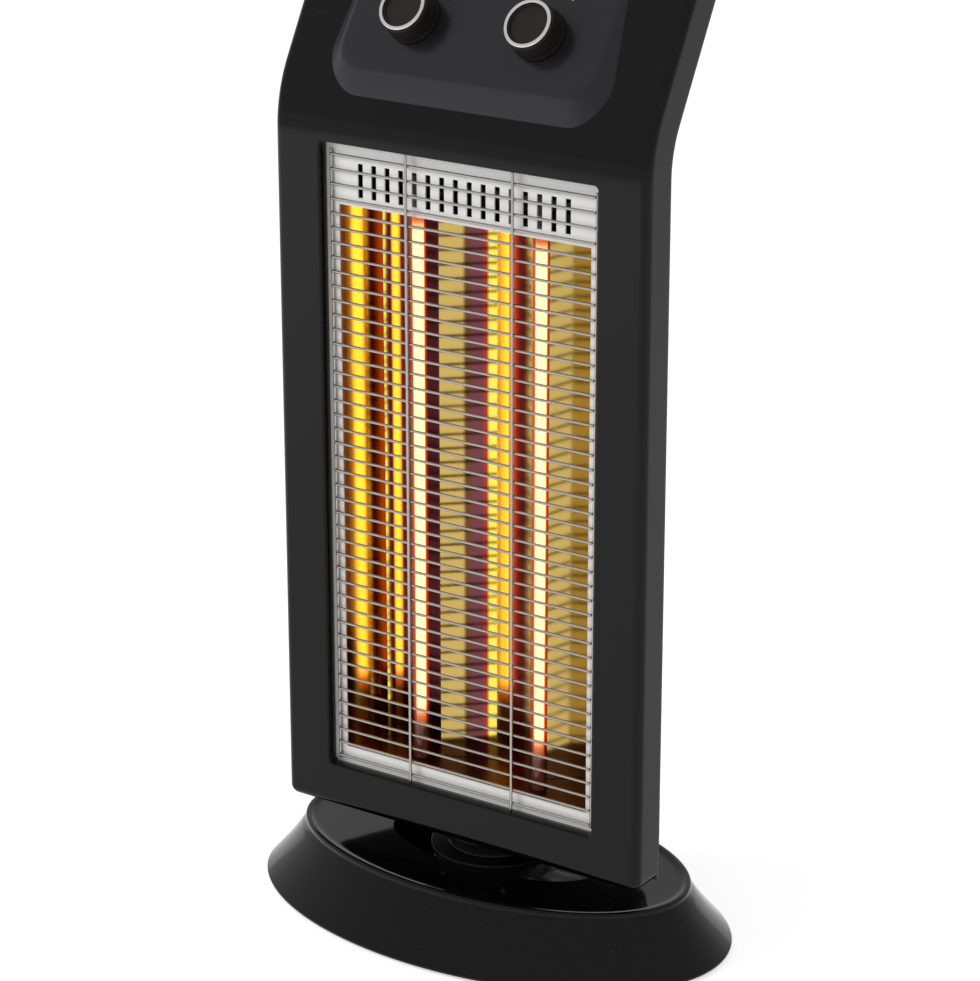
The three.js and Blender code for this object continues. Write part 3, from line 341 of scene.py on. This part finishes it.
skirt_t = np.linspace(0, 1, 14)[:, None]
skirt = np.concatenate([base_rim + (base_depth / 2 - base_rim) * skirt_t - skirt_hollow * np.sin(math.pi * skirt_t),
                        skirt_top - skirt_fall * skirt_t], 1)
outside = np.concatenate([soften([(0, 44), (70, 44), (77.5, 44.1), (80.2, 45.9), (82.9, 45.9), (83.9, 44.6),
                                  (83.9, 42.3), (83.2, 41.8), (83.4, 41.3)],
                                 [0, 0, 3, 1.3, 1.2, 0.8, 0.3, 0.3, 0]), skirt[1:-1],
                          soften([skirt[-1], (112.6, 2.1), (110.3, 2.1), (109.4, 4.8)], 0.6)])
inside = [(94.5, 22), (80.6, 41.2), (neck_hole, 41.2)]
rim_row = np.array([(neck_hole, 43.9)])
ring = outside[outside[:, 0] > neck_hole]
cover = skin("oval_cover", stretched(turn(np.concatenate([rim_row, ring, inside]), 220)), end_to_end=True)
dress(cover, "base", gloss_black, "gloss_black", "base_cover")

# ---------------------------------------------------------------- base plate, feet, screws and lead inlet
# The plate is a flat black moulding. Four rubber feet are pressed into it, four screws hold it to the cover,
# and a rubber bush low in the back of the skirt guards the mains lead.

matt_black = moulded("matt_black", (0.012, 0.012, 0.013), 0.55, 900, 0.00012, 0.1, 0.3, 0.3)
foot_rubber = moulded("foot_rubber", (0.01, 0.01, 0.01), 0.8, 700, 0.0001, 0.1, 0.4, 0.4)
zinc_plate = moulded("zinc_plate", (0.5, 0.51, 0.53), 0.34, 500, 0.00005, 0.6, 0.05, 0.5, metallic=1.0)


def keep_solid(node, finish):
    """Leaves a solid as it is and gives it a finish."""
    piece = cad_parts[node]
    piece.data.materials.clear()
    piece.data.materials.append(finish)


keep_solid("base_plate", matt_black)

foot_profile = soften([(0, 0.02), (8.4, 0.02), (8.8, 0.6), (9.4, 0.6), (9.8, 0.02), (11, 0.3), (11, 2.7), (4, 2.7),
                       (4, 6.9), (0, 6.9)], [0, 0, 0.2, 0.2, 0.3, 0.7, 0.3, 0, 0.4, 0], 4)
for number in range(1, 5):
    low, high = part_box(f"foot_{number}")
    centre = np.array([(low[0] + high[0]) / 2, (low[1] + high[1]) / 2, 0]) * 1000
    dress(skin(f"rubber_foot_{number}", turn(foot_profile, 40) + centre), "base", foot_rubber, "rubber",
          f"foot_{number}")


def cross_head(name, head, height, length, radius=1.9):
    """A screw with its head down at z = 0: a domed head with a cross-shaped recess that narrows upwards.
    The recess is in the head's own rows, whose radius is scaled by the outline of the cross."""
    dome = soften([(head * 0.45, 0.0), (head * 0.8, 0.05), (head, height * 0.6), (head, height), (radius, height),
                   (radius, height + length), (0, height + length)], [0, 0.5, 0.5, 0.2, 0.2, 0.4, 0], 4)
    rows = turn(dome, 48)
    a = np.linspace(0, 2 * math.pi, 48, endpoint=False)
    cross = np.maximum(np.minimum(0.16 / np.maximum(np.abs(np.sin(2 * a)), 1e-3) + 0.1, 0.42), 0.16)
    hole = []
    for scale, depth in ((1.0, 0.0), (0.94, height * 0.1), (0.6, height * 0.7), (0.0, height * 0.78)):
        reach = head * cross * scale
        hole.append(np.stack([reach * np.cos(a), reach * np.sin(a), np.full_like(a, depth)], -1))
    return skin(name, np.concatenate([np.array(hole)[::-1], rows]), sharp=30)


def moved(piece, matrix):
    """Applies a 4 x 4 matrix, in millimetres, to a piece's mesh."""
    matrix = np.array(matrix, float)
    count = len(piece.data.vertices)
    flat = np.zeros(count * 3, np.float32)
    piece.data.vertices.foreach_get("co", flat)
    points = flat.reshape(-1, 3).astype(float) * 1000
    points = points @ matrix[:3, :3].T + matrix[:3, 3]
    piece.data.vertices.foreach_set("co", (points / 1000).astype(np.float32).ravel())
    piece.data.update()
    return piece


def at(x, y, z):
    return np.array([[1, 0, 0, x], [0, 1, 0, y], [0, 0, 1, z], [0, 0, 0, 1]], float)


for number in range(1, 5):
    low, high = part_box(f"base_screw_{number}")
    x, y = (low[0] + high[0]) * 500, (low[1] + high[1]) * 500
    screw = moved(cross_head(f"plate_screw_{number}", 3.6, 1.6, 16), at(x, y, low[2] * 1000))
    dress(screw, "base", zinc_plate, "zinc", f"base_screw_{number}")

bush_low, bush_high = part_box("cord_inlet")
bush_above_floor = 15
bush_length = (bush_high[1] - bush_low[1]) * 1000
bush_profile = soften([(3.5, 0), (6.6, 0), (6.6, bush_length - 1), (5.8, bush_length), (3.9, bush_length),
                       (3.5, bush_length - 1), (3.5, 0)], 0.5)
inlet = skin("inlet_bush", turn(bush_profile, 40))
moved(inlet, [[1, 0, 0, 0], [0, 0, 1, bush_low[1] * 1000], [0, -1, 0, bush_above_floor], [0, 0, 0, 1]])
dress(inlet, "base", foot_rubber, "rubber", "cord_inlet")

# ---------------------------------------------------------------- tip switch, swing drive and swivel
# Inside the base a geared motor turns a crank whose pin swings the arm under the neck. The hollow neck turns in
# a plastic bush, and a sprung plunger cuts the current when the base leaves the floor.

nylon = moulded("nylon", (0.62, 0.6, 0.55), 0.45, 400, 0.00005, 0.2, 0.05, 0.2)
phenolic = moulded("phenolic", (0.035, 0.02, 0.014), 0.4, 600, 0.00008, 0.2, 0.05, 0.2)
neck_black = moulded("neck_black", (0.003, 0.003, 0.0035), 0.28, 500, 0.00005, 0.2, 0.2, 0.3,
                     Specular_IOR_Level=0.2)

plunger_x, plunger_y = -70, -40
plunger = skin("tip_feeler", turn(soften([(0, 0.02), (3, 0.02), (3, 10.7), (5.7, 10.7), (5.7, 12.7), (3, 12.7),
                                          (3, 25.7), (0, 25.7)], [0, 1.2, 0.2, 0.3, 0.3, 0.2, 0.8, 0], 4), 32)
               + np.array([plunger_x, plunger_y, 0]))
dress(plunger, "plunger", nylon, "nylon", "tip_plunger")
for node, finish in (("tip_switch", phenolic), ("swing_motor", zinc_plate), ("motor_crank", nylon),
                     ("swing_arm", zinc_plate), ("pivot_bush", neck_black)):
    keep_solid(node, finish)

neck = skin("hollow_neck", turn(soften(
    [(25, 36.3), (31, 36.3), (31, 46.3), (44, 46.3), (44, 49.5), (31, 49.5), (31, 61), (40, 61), (40, 64.7),
     (25, 64.7), (25, 36.3)], [0, 0.5, 0.3, 0.4, 0.9, 1.5, 1.5, 0.6, 0.6, 0.5, 0]), 120))
dress(neck, "heater_body", neck_black, "matt_black", "swivel_neck")
for number in range(1, 5):
    keep_solid(f"neck_screw_{number}", zinc_plate)

# ---------------------------------------------------------------- front bezel
# The front half of the housing: one glossy black ABS moulding with a tall window. Its face runs straight up,
# bends once and leans back. The edge of the window turns inwards as a short lip.

face_ahead = 46
lean_degrees = 29.5
bend_start, bend_radius, lean = 545, 95, math.radians(lean_degrees)
bend_end = bend_start + bend_radius * lean
face_end = bend_end + 87.5
rear_depth, wall, lip_radius = 25.5, 2.6, 1.5
window_half, window_low, window_high = 108.1, 97.3, 541.7
housing_bottom, half_width = 65, 145


def along_face(x, depth, along):
    """A point of the housing, from its place across, its depth behind the face and its distance along it.
    Past the start of the bend, a depth d travels on a circle of radius 95 - d until the face has turned 29.5
    degrees, and then straight on."""
    x, depth, along = np.broadcast_arrays(x, depth, along)
    past = np.maximum(along - bend_start, 0)
    angle = np.minimum(past / bend_radius, lean)
    straight = past - angle * bend_radius
    reach = bend_radius - depth
    y = bend_radius - reach * np.cos(angle) + straight * np.sin(angle) - face_ahead
    z = np.minimum(along, bend_start) + reach * np.sin(angle) + straight * np.cos(angle)
    return np.stack([x, y, z], -1)


def rounded_loop(half, low, high, radius, tall=120, wide=48, corner=10):
    """Points (across, along) round a rectangle with rounded corners, the same number on each side whatever its
    size, so that one loop can be joined to another."""
    quarter = np.linspace(0, math.pi / 2, corner, endpoint=False)
    parts = []
    for turned, (cx, cz), count, length in (
            (0, (half - radius, high - radius), wide, 2 * (half - radius)),
            (1, (-half + radius, high - radius), tall, high - low - 2 * radius),
            (2, (-half + radius, low + radius), wide, 2 * (half - radius)),
            (3, (half - radius, low + radius), tall, high - low - 2 * radius)):
        a = quarter + turned * math.pi / 2
        parts.append(np.stack([cx + radius * np.cos(a), cz + radius * np.sin(a)], -1))
        heading = turned * math.pi / 2 + math.pi
        side = heading - math.pi / 2
        start = np.array([cx + radius * math.cos(side), cz + radius * math.sin(side)])
        step = np.linspace(0, 1, count, endpoint=False)[:, None]
        parts.append(start + step * length * np.array([math.cos(heading), math.sin(heading)]))
    return np.concatenate(parts)


def outline_at(inset, radius=7):
    """The housing's outline, drawn in by inset."""
    return rounded_loop(half_width - inset, housing_bottom + inset, face_end - inset, max(radius - inset, 0.8))


def window_at(margin, radius=3):
    """The window's outline, let out by margin."""
    return rounded_loop(window_half + margin, window_low - margin, window_high + margin, radius + margin)


rows = []
edge = 6
loop = outline_at(0)
for depth in (rear_depth, 18, 12, 7, edge):
    rows.append(along_face(loop[:, 0], depth, loop[:, 1]))
for a in np.linspace(0, math.pi / 2, 12)[1:]:
    loop = outline_at(edge * (1 - math.cos(a)))
    rows.append(along_face(loop[:, 0], edge * (1 - math.sin(a)), loop[:, 1]))
outer_loop, inner_loop = outline_at(edge), window_at(lip_radius)
for share in np.concatenate([[0.012], np.linspace(0.03, 0.97, 60), [0.99, 1]]):
    loop = outer_loop * (1 - share) + inner_loop * share
    rows.append(along_face(loop[:, 0], 0, loop[:, 1]))
for a in np.linspace(0, math.pi / 2, 7)[1:]:
    loop = window_at(lip_radius * (1 - math.sin(a)))
    rows.append(along_face(loop[:, 0], lip_radius * (1 - math.cos(a)), loop[:, 1]))
for margin, depth in ((0, 5), (0, 8.2), (0.3, 8.5), (2.4, 8.5), (2.4, wall)):
    loop = window_at(margin)
    rows.append(along_face(loop[:, 0], depth, loop[:, 1]))
inner_back = outline_at(wall, 5)
for share in np.linspace(0, 1, 40)[1:]:
    loop = window_at(2.4) * (1 - share) + inner_back * share
    rows.append(along_face(loop[:, 0], wall, loop[:, 1]))
rows.append(along_face(inner_back[:, 0], rear_depth, inner_back[:, 1]))
bezel = skin("face_moulding", rows, end_to_end=True, sharp=50)
dress(bezel, "heater_body", gloss_black, "gloss_black", "front_bezel")

# ---------------------------------------------------------------- rear cover
# The back half of the housing, a matt textured moulding with a hump for the reflector, vents above and below,
# and a pocket for the fingers. Four screws hold it to posts in the bezel.

keep_solid("rear_cover", matt_black)
for number in range(1, 5):
    low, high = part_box(f"cover_screw_{number}")
    x, z = (low[0] + high[0]) * 500, (low[2] + high[2]) * 500
    screw = cross_head(f"case_screw_{number}", 3.5, 2, 16)
    moved(screw, [[1, 0, 0, x], [0, 0, -1, high[1] * 1000], [0, 1, 0, z], [0, 0, 0, 1]])
    dress(screw, "heater_body", zinc_plate, "zinc", f"cover_screw_{number}")
for node in ("body_bracket", "switch_bracket"):
    keep_solid(node, zinc_plate)
steatite = moulded("steatite", (0.22, 0.10, 0.075), 0.6, 500, 0.0001, 0.1, 0.1, 0.2)
keep_solid("terminal_block", steatite)

# ---------------------------------------------------------------- reflector frame and folded mirror
# The frame is a bright sheet with one row of punched slots over the mouth. The mirror behind it is one sheet of
# polished aluminium folded into facets, closed above and below by end plates, with a shield behind.

bright_sheet = moulded("bright_sheet", (0.94, 0.94, 0.92), 0.35, 260, 0.00003, 0.5, 0.05, 0.3)
# Dark maroon metal for the reflector's end plates
maroon_sheet = moulded("maroon_sheet", (0.12, 0.035, 0.035), 0.35, 260, 0.00003, 0.5, 0.05, 0.3, metallic=1.0)
keep_solid("reflector_frame", bright_sheet)
keep_solid("reflector_end_lower", maroon_sheet)
keep_solid("reflector_end_upper", maroon_sheet)
keep_solid("heat_shield", zinc_plate)
keep_solid("thermal_cutout", phenolic)

mirror_gold = moulded("mirror_gold", (0.94, 0.70, 0.18), 0.1, 40, 0.00012, 0.3, 0.0, 0.3, metallic=1.0)
keep_solid("reflector", mirror_gold)

# The sheet's colour is painted in bands of brown, violet, rust and gold that run from top to bottom. They are
# painted reflections, set where the glowing tubes and the shade between them are reflected from one view, and they
# stay fixed to the sheet. The sheet gives no light of its own: each band shows what it reflects, in the band's
# colour.
tree = mirror_gold.node_tree
place = tree.nodes.new("ShaderNodeTexCoord")
split = tree.nodes.new("ShaderNodeSeparateXYZ")
tree.links.new(place.outputs["Object"], split.inputs[0])
painted_reflection = tree.nodes.new("ShaderNodeValToRGB")
reflection_reach = 120
tree.links.new(ramp(tree, split.outputs["X"], -reflection_reach / 1000, reflection_reach / 1000, 0.0, 1.0),
               painted_reflection.inputs["Fac"])
tan, lemon = (0.5, 0.35, 0.1), (0.9, 0.72, 0.1)
brown, violet = (0.13, 0.05, 0.025), (0.15, 0.045, 0.06)
rusty, maroon = (0.34, 0.035, 0.02), (0.14, 0.018, 0.03)
marks = painted_reflection.color_ramp.elements
marks[0].position, marks[0].color = 0.0, (*brown, 1)
marks[1].position, marks[1].color = 1.0, (*tan, 1)
# Painted reflection stops: lemon, rust and maroon where the glowing tubes are reflected, brown and violet where
# there is shade, tan between
for fold_x, tint in ((-97, brown), (-95.5, lemon), (-90.8, lemon), (-90.2, rusty), (-88.4, rusty), (-88, lemon),
                     (-84.9, lemon), (-84.3, maroon), (-82, maroon), (-81.5, lemon), (-79, lemon), (-78.3, violet),
                     (-70, violet), (-60, rusty), (-41, brown), (-37, tan), (-22, tan), (-20, brown), (-17, brown),
                     (-15, violet), (-9.5, violet), (-8, rusty), (-6, rusty), (-5, lemon), (12, lemon), (14, rusty),
                     (29, rusty), (35, tan)):
    stop = marks.new((fold_x + reflection_reach) / (2 * reflection_reach))
    stop.color = (*tint, 1)
coat = next(node for node in tree.nodes if node.bl_idname == "ShaderNodeMix")
tree.links.new(painted_reflection.outputs["Color"], coat.inputs["A"])

# ---------------------------------------------------------------- quartz tubes
# Each tube is clear quartz round a coiled wire at orange heat. Its ends sit in ceramic caps that spring clips
# hold to the reflector's end plates.

tube_x, tube_y = 48.6, 28 - face_ahead
glass_low, glass_high = (corner[2] * 1000 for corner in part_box("quartz_tube_left"))
hot_low, hot_high = 144, 488
coil_pitch = 0.0022

# The coils' glow is real light, but here the outer glass carries it as emission, and the coil's turns are painted
# as bands of emission strength
heated = bpy.data.materials.new("heated_quartz")
tree = node_tree(heated)
shader = tree.nodes.new("ShaderNodeBsdfPrincipled")
shader.inputs["Base Color"].default_value = (0.09, 0.03, 0.02, 1)
shader.inputs["Roughness"].default_value = 0.12
surface = tree.nodes.new("ShaderNodeOutputMaterial")
tree.links.new(shader.outputs[0], surface.inputs["Surface"])
place = tree.nodes.new("ShaderNodeTexCoord")
split = tree.nodes.new("ShaderNodeSeparateXYZ")
tree.links.new(place.outputs["Object"], split.inputs[0])
heat = tree.nodes.new("ShaderNodeValToRGB")
tree.links.new(ramp(tree, split.outputs["Z"], glass_low / 1000, glass_high / 1000, 0, 1), heat.inputs["Fac"])


def share_of_glass(z):
    """Where a height lies along the glass, from 0 at its lower end to 1 at its upper end."""
    return (z - glass_low) / (glass_high - glass_low)


stops = heat.color_ramp.elements
cold, ember, hot = (0.03, 0.006, 0.004, 1), (0.8, 0.16, 0.02, 1), (2.0, 1.3, 0.58, 1)
stops[0].position, stops[0].color = share_of_glass(hot_low - 14), cold
stops[1].position, stops[1].color = share_of_glass(hot_high + 12), cold
for z, colour in ((hot_low - 4, ember), (hot_low + 4, hot), (hot_high - 4, hot), (hot_high + 4, ember)):
    stop = stops.new(share_of_glass(z))
    stop.color = colour
turns = tree.nodes.new("ShaderNodeTexWave")
turns.bands_direction = "Z"
turns.inputs["Scale"].default_value = 1 / coil_pitch / 20 * 2 * math.pi
tree.links.new(place.outputs["Object"], turns.inputs["Vector"])
# Painted glow fall-off: towards the tube's edges as seen, the facing angle turns the glow orange and then dark red,
# in place of the glass's own optics
edge_on = tree.nodes.new("ShaderNodeLayerWeight")
rim = tree.nodes.new("ShaderNodeValToRGB")
tree.links.new(edge_on.outputs["Facing"], rim.inputs["Fac"])
bands = rim.color_ramp.elements
bands[0].position, bands[0].color = 0.24, (1, 1, 1, 1)
bands[1].position, bands[1].color = 0.7, (0.08, 0.01, 0.012, 1)
for facing, colour in ((0.31, (0.6, 0.13, 0.03, 1)), (0.4, (0.22, 0.02, 0.012, 1))):
    stop = bands.new(facing)
    stop.color = colour
tinted = tree.nodes.new("ShaderNodeMix")
tinted.data_type = "RGBA"
tinted.blend_type = "MULTIPLY"
tinted.inputs["Factor"].default_value = 1.0
tree.links.new(heat.outputs["Color"], tinted.inputs["A"])
tree.links.new(rim.outputs["Color"], tinted.inputs["B"])
tree.links.new(tinted.outputs["Result"], shader.inputs["Emission Color"])
tree.links.new(ramp(tree, turns.outputs["Fac"], 0, 1, 0.86, 1.1), shader.inputs["Emission Strength"])

for side, x in (("left", -tube_x), ("right", tube_x)):
    glass = soften([(4.5, glass_low), (5.5, glass_low), (5.5, glass_high), (4.5, glass_high), (4.5, glass_low)],
                   [0, 0.4, 0.4, 0.4, 0])
    tube = skin(f"quartz_glass_{side}", turn(glass, 64) + np.array([x, tube_y, 0]))
    dress(tube, "heater_body", heated, "quartz", f"quartz_tube_{side}")
    keep_solid(f"filament_{side}", heated)
    for end in ("lower", "upper"):
        keep_solid(f"end_cap_{side}_{end}", steatite)
        keep_solid(f"cap_clip_{side}_{end}", zinc_plate)

# ---------------------------------------------------------------- wire guard
# One welded grille of bright plated wire: cross wires at a pitch of 10 mm, two side wires behind them and two
# uprights in front, whose ends reach over the window's lip.

wire_finish = moulded("plated_wire", (0.4, 0.37, 0.34), 0.25, 600, 0.00004, 0.4, 0.0, 0.3, metallic=1.0)
wire_radius, wire_pitch, wire_count, lowest_wire = 1.0, 10, 44, 103
cross_depth, side_depth, upright_depth = (depth - face_ahead for depth in (6.0, 7.5, 4.5))
side_x, upright_x = 103.5, 41.6


def straight_wire(name, start, end, sides=14, steps=3):
    """A straight round wire with domed ends: rings of points about the line from start to end."""
    start, end = np.array(start, float), np.array(end, float)
    line = (end - start) / np.linalg.norm(end - start)
    side = np.cross(line, [0.3, 1, 0.2])
    side /= np.linalg.norm(side)
    up = np.cross(line, side)
    a = np.linspace(0, 2 * math.pi, sides, endpoint=False)
    ring = np.outer(np.cos(a), side) + np.outer(np.sin(a), up)
    radii = np.array([0, 0.6, 0.9, 1, 1, 0.9, 0.6, 0]) * wire_radius
    inset = np.array([0, 0.1, 0.4, 1, -1, -0.4, -0.1, 0])
    base = [start + line * d if d > 0 or i == 0 else end + line * d for i, d in enumerate(inset)]
    return skin(name, np.array([b + ring * r for b, r in zip(base, radii)]), sharp=60)


guard_wires = []
for i in range(wire_count):
    z = lowest_wire + wire_pitch * i
    guard_wires.append(straight_wire(f"wire_{i}", (-side_x, cross_depth, z), (side_x, cross_depth, z)))
for x in (-side_x, side_x):
    guard_wires.append(straight_wire("side", (x, side_depth, 100), (x, side_depth, 536)))
for x in (-upright_x, upright_x):
    guard_wires.append(straight_wire("upright", (x, upright_depth, 97.6), (x, upright_depth, 541.4)))
grille = together("welded_grille", guard_wires)
dress(grille, "heater_body", wire_finish, "steel_wire", "guard")

# ---------------------------------------------------------------- control console
# A wedge-shaped moulding on the leaning face, a shade lighter than the housing. Its sides flare out to the face.

wedge_degrees = 5.6
tilt = math.radians(lean_degrees + wedge_degrees)
dial_x, dial_up = 48, 36
console_origin = along_face(0, -9, bend_end)


def on_panel(points):
    """From the panel's own frame (across, up the panel, out of it) to the heater's: a turn about X by 90 degrees
    less the tilt, and a move to the panel's lower edge."""
    points = np.asarray(points, float)
    c, s = math.cos(math.pi / 2 - tilt), math.sin(math.pi / 2 - tilt)
    x, up, out_of = points[..., 0], points[..., 1], points[..., 2]
    return np.stack([x, c * up - s * out_of, s * up + c * out_of], -1) + console_origin


console_skin = moulded("console_skin", (0.017, 0.017, 0.02), 0.2, 260, 0.00003, 0.2, 0.1, 0.4,
                       Specular_IOR_Level=0.25)


def panel_loop(let_out, per_side=28, corner=12):
    """The panel's outline, let out: lower corners of radius 16 and upper ones of 12."""
    half, low, high = 97 + let_out, -let_out, 80 + let_out
    quarter = np.linspace(0, math.pi / 2, corner)
    loop = []
    for turned, cx, cz, r in ((3, half, low, 16 + let_out), (0, half, high, 12 + let_out),
                              (1, -half, high, 12 + let_out), (2, -half, low, 16 + let_out)):
        r = max(r, 0.5)
        centre = (cx - math.copysign(r, cx), cz + r if cz == low else cz - r)
        a = quarter + turned * math.pi / 2
        loop.append(np.stack([centre[0] + r * np.cos(a), centre[1] + r * np.sin(a)], -1))
    loop = np.concatenate(loop)
    ends = np.roll(loop, -1, 0)
    length = np.linalg.norm(ends - loop, axis=1)
    filled = []
    for p, q, d in zip(loop, ends, length):
        count = per_side if d > 12 else 1
        filled.append(p + (q - p) * np.linspace(0, 1, count, endpoint=False)[:, None])
    return np.concatenate(filled)


# The side runs down a slope of 16 in 22.2. At a distance t down the slope from the panel's edge at height u, its
# rise over the leaning face is 9 - (u + t du) sin 5.6 - t (16 / 22.2) cos 5.6. It ends where that is -2.5, which
# lies inside the bezel's wall. Below the panel the face bends away, and the side follows it for another 1.8 mm.
flare, thick, rise = 22.2, 16, 9
edge_loop, foot_loop = panel_loop(0), panel_loop(flare)
heading = (foot_loop - edge_loop) / flare
slope, wedge = thick / flare, math.radians(wedge_degrees)
sunk = 2.5 + 1.8 * np.clip(-heading[:, 1], 0, 1) * (edge_loop[:, 1] < 20)
reach = ((rise + sunk - edge_loop[:, 1] * math.sin(wedge))
         / (heading[:, 1] * math.sin(wedge) + slope * math.cos(wedge)))
reach = np.clip(reach, 1.5, flare)[:, None]
panel_centre = np.array([0, 40])
profile = soften([(-0.6, 0), (0, 0), (1, -slope)], [0, 0.2, 0], 9)
rows = []
for let_out, level in profile:
    loop = edge_loop + heading * reach * let_out
    rows.append(on_panel(np.concatenate([loop, reach * level], 1)))
flat = edge_loop + heading * reach * profile[0][0]
crown = [on_panel(np.concatenate([panel_centre + (flat - panel_centre) * share, np.zeros((len(flat), 1))], 1))
         for share in (0.0, 0.3, 0.6, 0.85)]
foot = np.concatenate([edge_loop + heading * reach, -slope * reach], 1)
foot_centre = foot.mean(0)
floor_rows = [on_panel(foot_centre + (foot - foot_centre) * share) for share in (0.7, 0.35, 0.0)]
console = skin("console_wedge", crown + rows + floor_rows, sharp=50)
dress(console, "heater_body", console_skin, "console_plastic", "control_console")

# Printed marks, three beside the left knob and two beside the right one, as plain pads of ink 0.05 mm thick
mark_pink = moulded("mark_pink", (0.62, 0.33, 0.36), 0.5, 900, 0.00002, 0.1, 0.0, 0.2)
mark_grey = moulded("mark_grey", (0.42, 0.42, 0.44), 0.5, 900, 0.00002, 0.1, 0.0, 0.2)
mark_lavender = moulded("mark_lavender", (0.38, 0.34, 0.58), 0.5, 900, 0.00002, 0.1, 0.0, 0.2)
for number, (x, degrees, ink) in enumerate((
        (-dial_x, 0, mark_pink), (-dial_x, 30, mark_grey), (-dial_x, 55, mark_lavender),
        (dial_x, 0, mark_pink), (dial_x, 28, mark_lavender))):
    angle = math.radians(degrees)
    across, along = np.array([math.cos(angle), -math.sin(angle)]), np.array([math.sin(angle), math.cos(angle)])
    centre = np.array([x, dial_up]) + 30.5 * along
    a = np.linspace(0, 2 * math.pi, 32, endpoint=False)
    pad = np.stack([np.sign(part) * np.abs(part) ** 0.5 for part in (np.cos(a), np.sin(a))], -1)
    rows = []
    for share, level in ((0, 0.05), (0.96, 0.05), (1, 0.03), (1, -0.1), (0, -0.1)):
        spread = centre + share * (pad[:, :1] * 1.7 * across + pad[:, 1:] * 0.75 * along)
        rows.append(on_panel(np.concatenate([spread, np.full((32, 1), level)], 1)))
    dress(skin(f"printed_mark_{number + 1}", rows), "heater_body", ink, "console_plastic")

# ---------------------------------------------------------------- knobs and switches
# Each knob is a black moulding with a fine-ribbed side, pushed on the shaft of a rotary switch. A chrome ring is
# pressed round its dished end.

knob_black = moulded("knob_black", (0.009, 0.0075, 0.0065), 0.4, 500, 0.00004, 0.2, 0.1, 0.4,
                     Specular_IOR_Level=0.25)
ring_chrome = moulded("ring_chrome", (0.62, 0.61, 0.6), 0.22, 300, 0.00003, 0.3, 0.0, 0.3, metallic=1.0)
rib_count, rib_depth, knob_sides = 36, 0.016, 288
for side, x in (("left", -dial_x), ("right", dial_x)):
    body = f"dial_{side}"
    shape = soften([(3.2, 11), (3.2, 0.5), (18.6, 0.5), (18.6, 2.5), (18.3, 4), (17.5, 14), (17.3, 15.7),
                    (13.7, 15.7), (13.7, 16.8), (12.9, 16.8), (12.3, 15.1), (0, 15.0)],
                   [0, 0.3, 0.6, 0.6, 0.2, 0.2, 0.5, 0.2, 0.3, 0.3, 0.4, 0], 5)
    rows = turn(np.concatenate([[(0, 11)], shape]), knob_sides)
    waist = (shape[:, 0] > 16.5) & (shape[:, 1] > 2.6) & (shape[:, 1] < 15.2)
    a = np.linspace(0, 2 * math.pi, knob_sides, endpoint=False)
    ribs = 1 - rib_depth * (0.5 - 0.5 * np.cos(rib_count * a))
    rows[1:][waist, :, :2] *= ribs[:, None]
    knob = skin(f"knob_body_{side}", on_panel(rows + np.array([x, dial_up, 0])), sharp=45)
    dress(knob, body, knob_black, "gloss_black", f"knob_{side}")
    shape = soften([(14, 16), (16.6, 16), (16.5, 17.6), (15.8, 18.2), (14.5, 18.2), (14, 17.5), (14, 16)],
                   [0, 0.3, 0.5, 0.6, 0.6, 0.4, 0], 5)
    ring = skin(f"knob_bezel_{side}", on_panel(turn(shape, 120) + np.array([x, dial_up, 0])), sharp=50)
    dress(ring, body, ring_chrome, "chrome", f"knob_ring_{side}")
    keep_solid(f"switch_shaft_{side}", zinc_plate)
    keep_solid(f"rotary_switch_{side}", phenolic)

# ---------------------------------------------------------------- finish

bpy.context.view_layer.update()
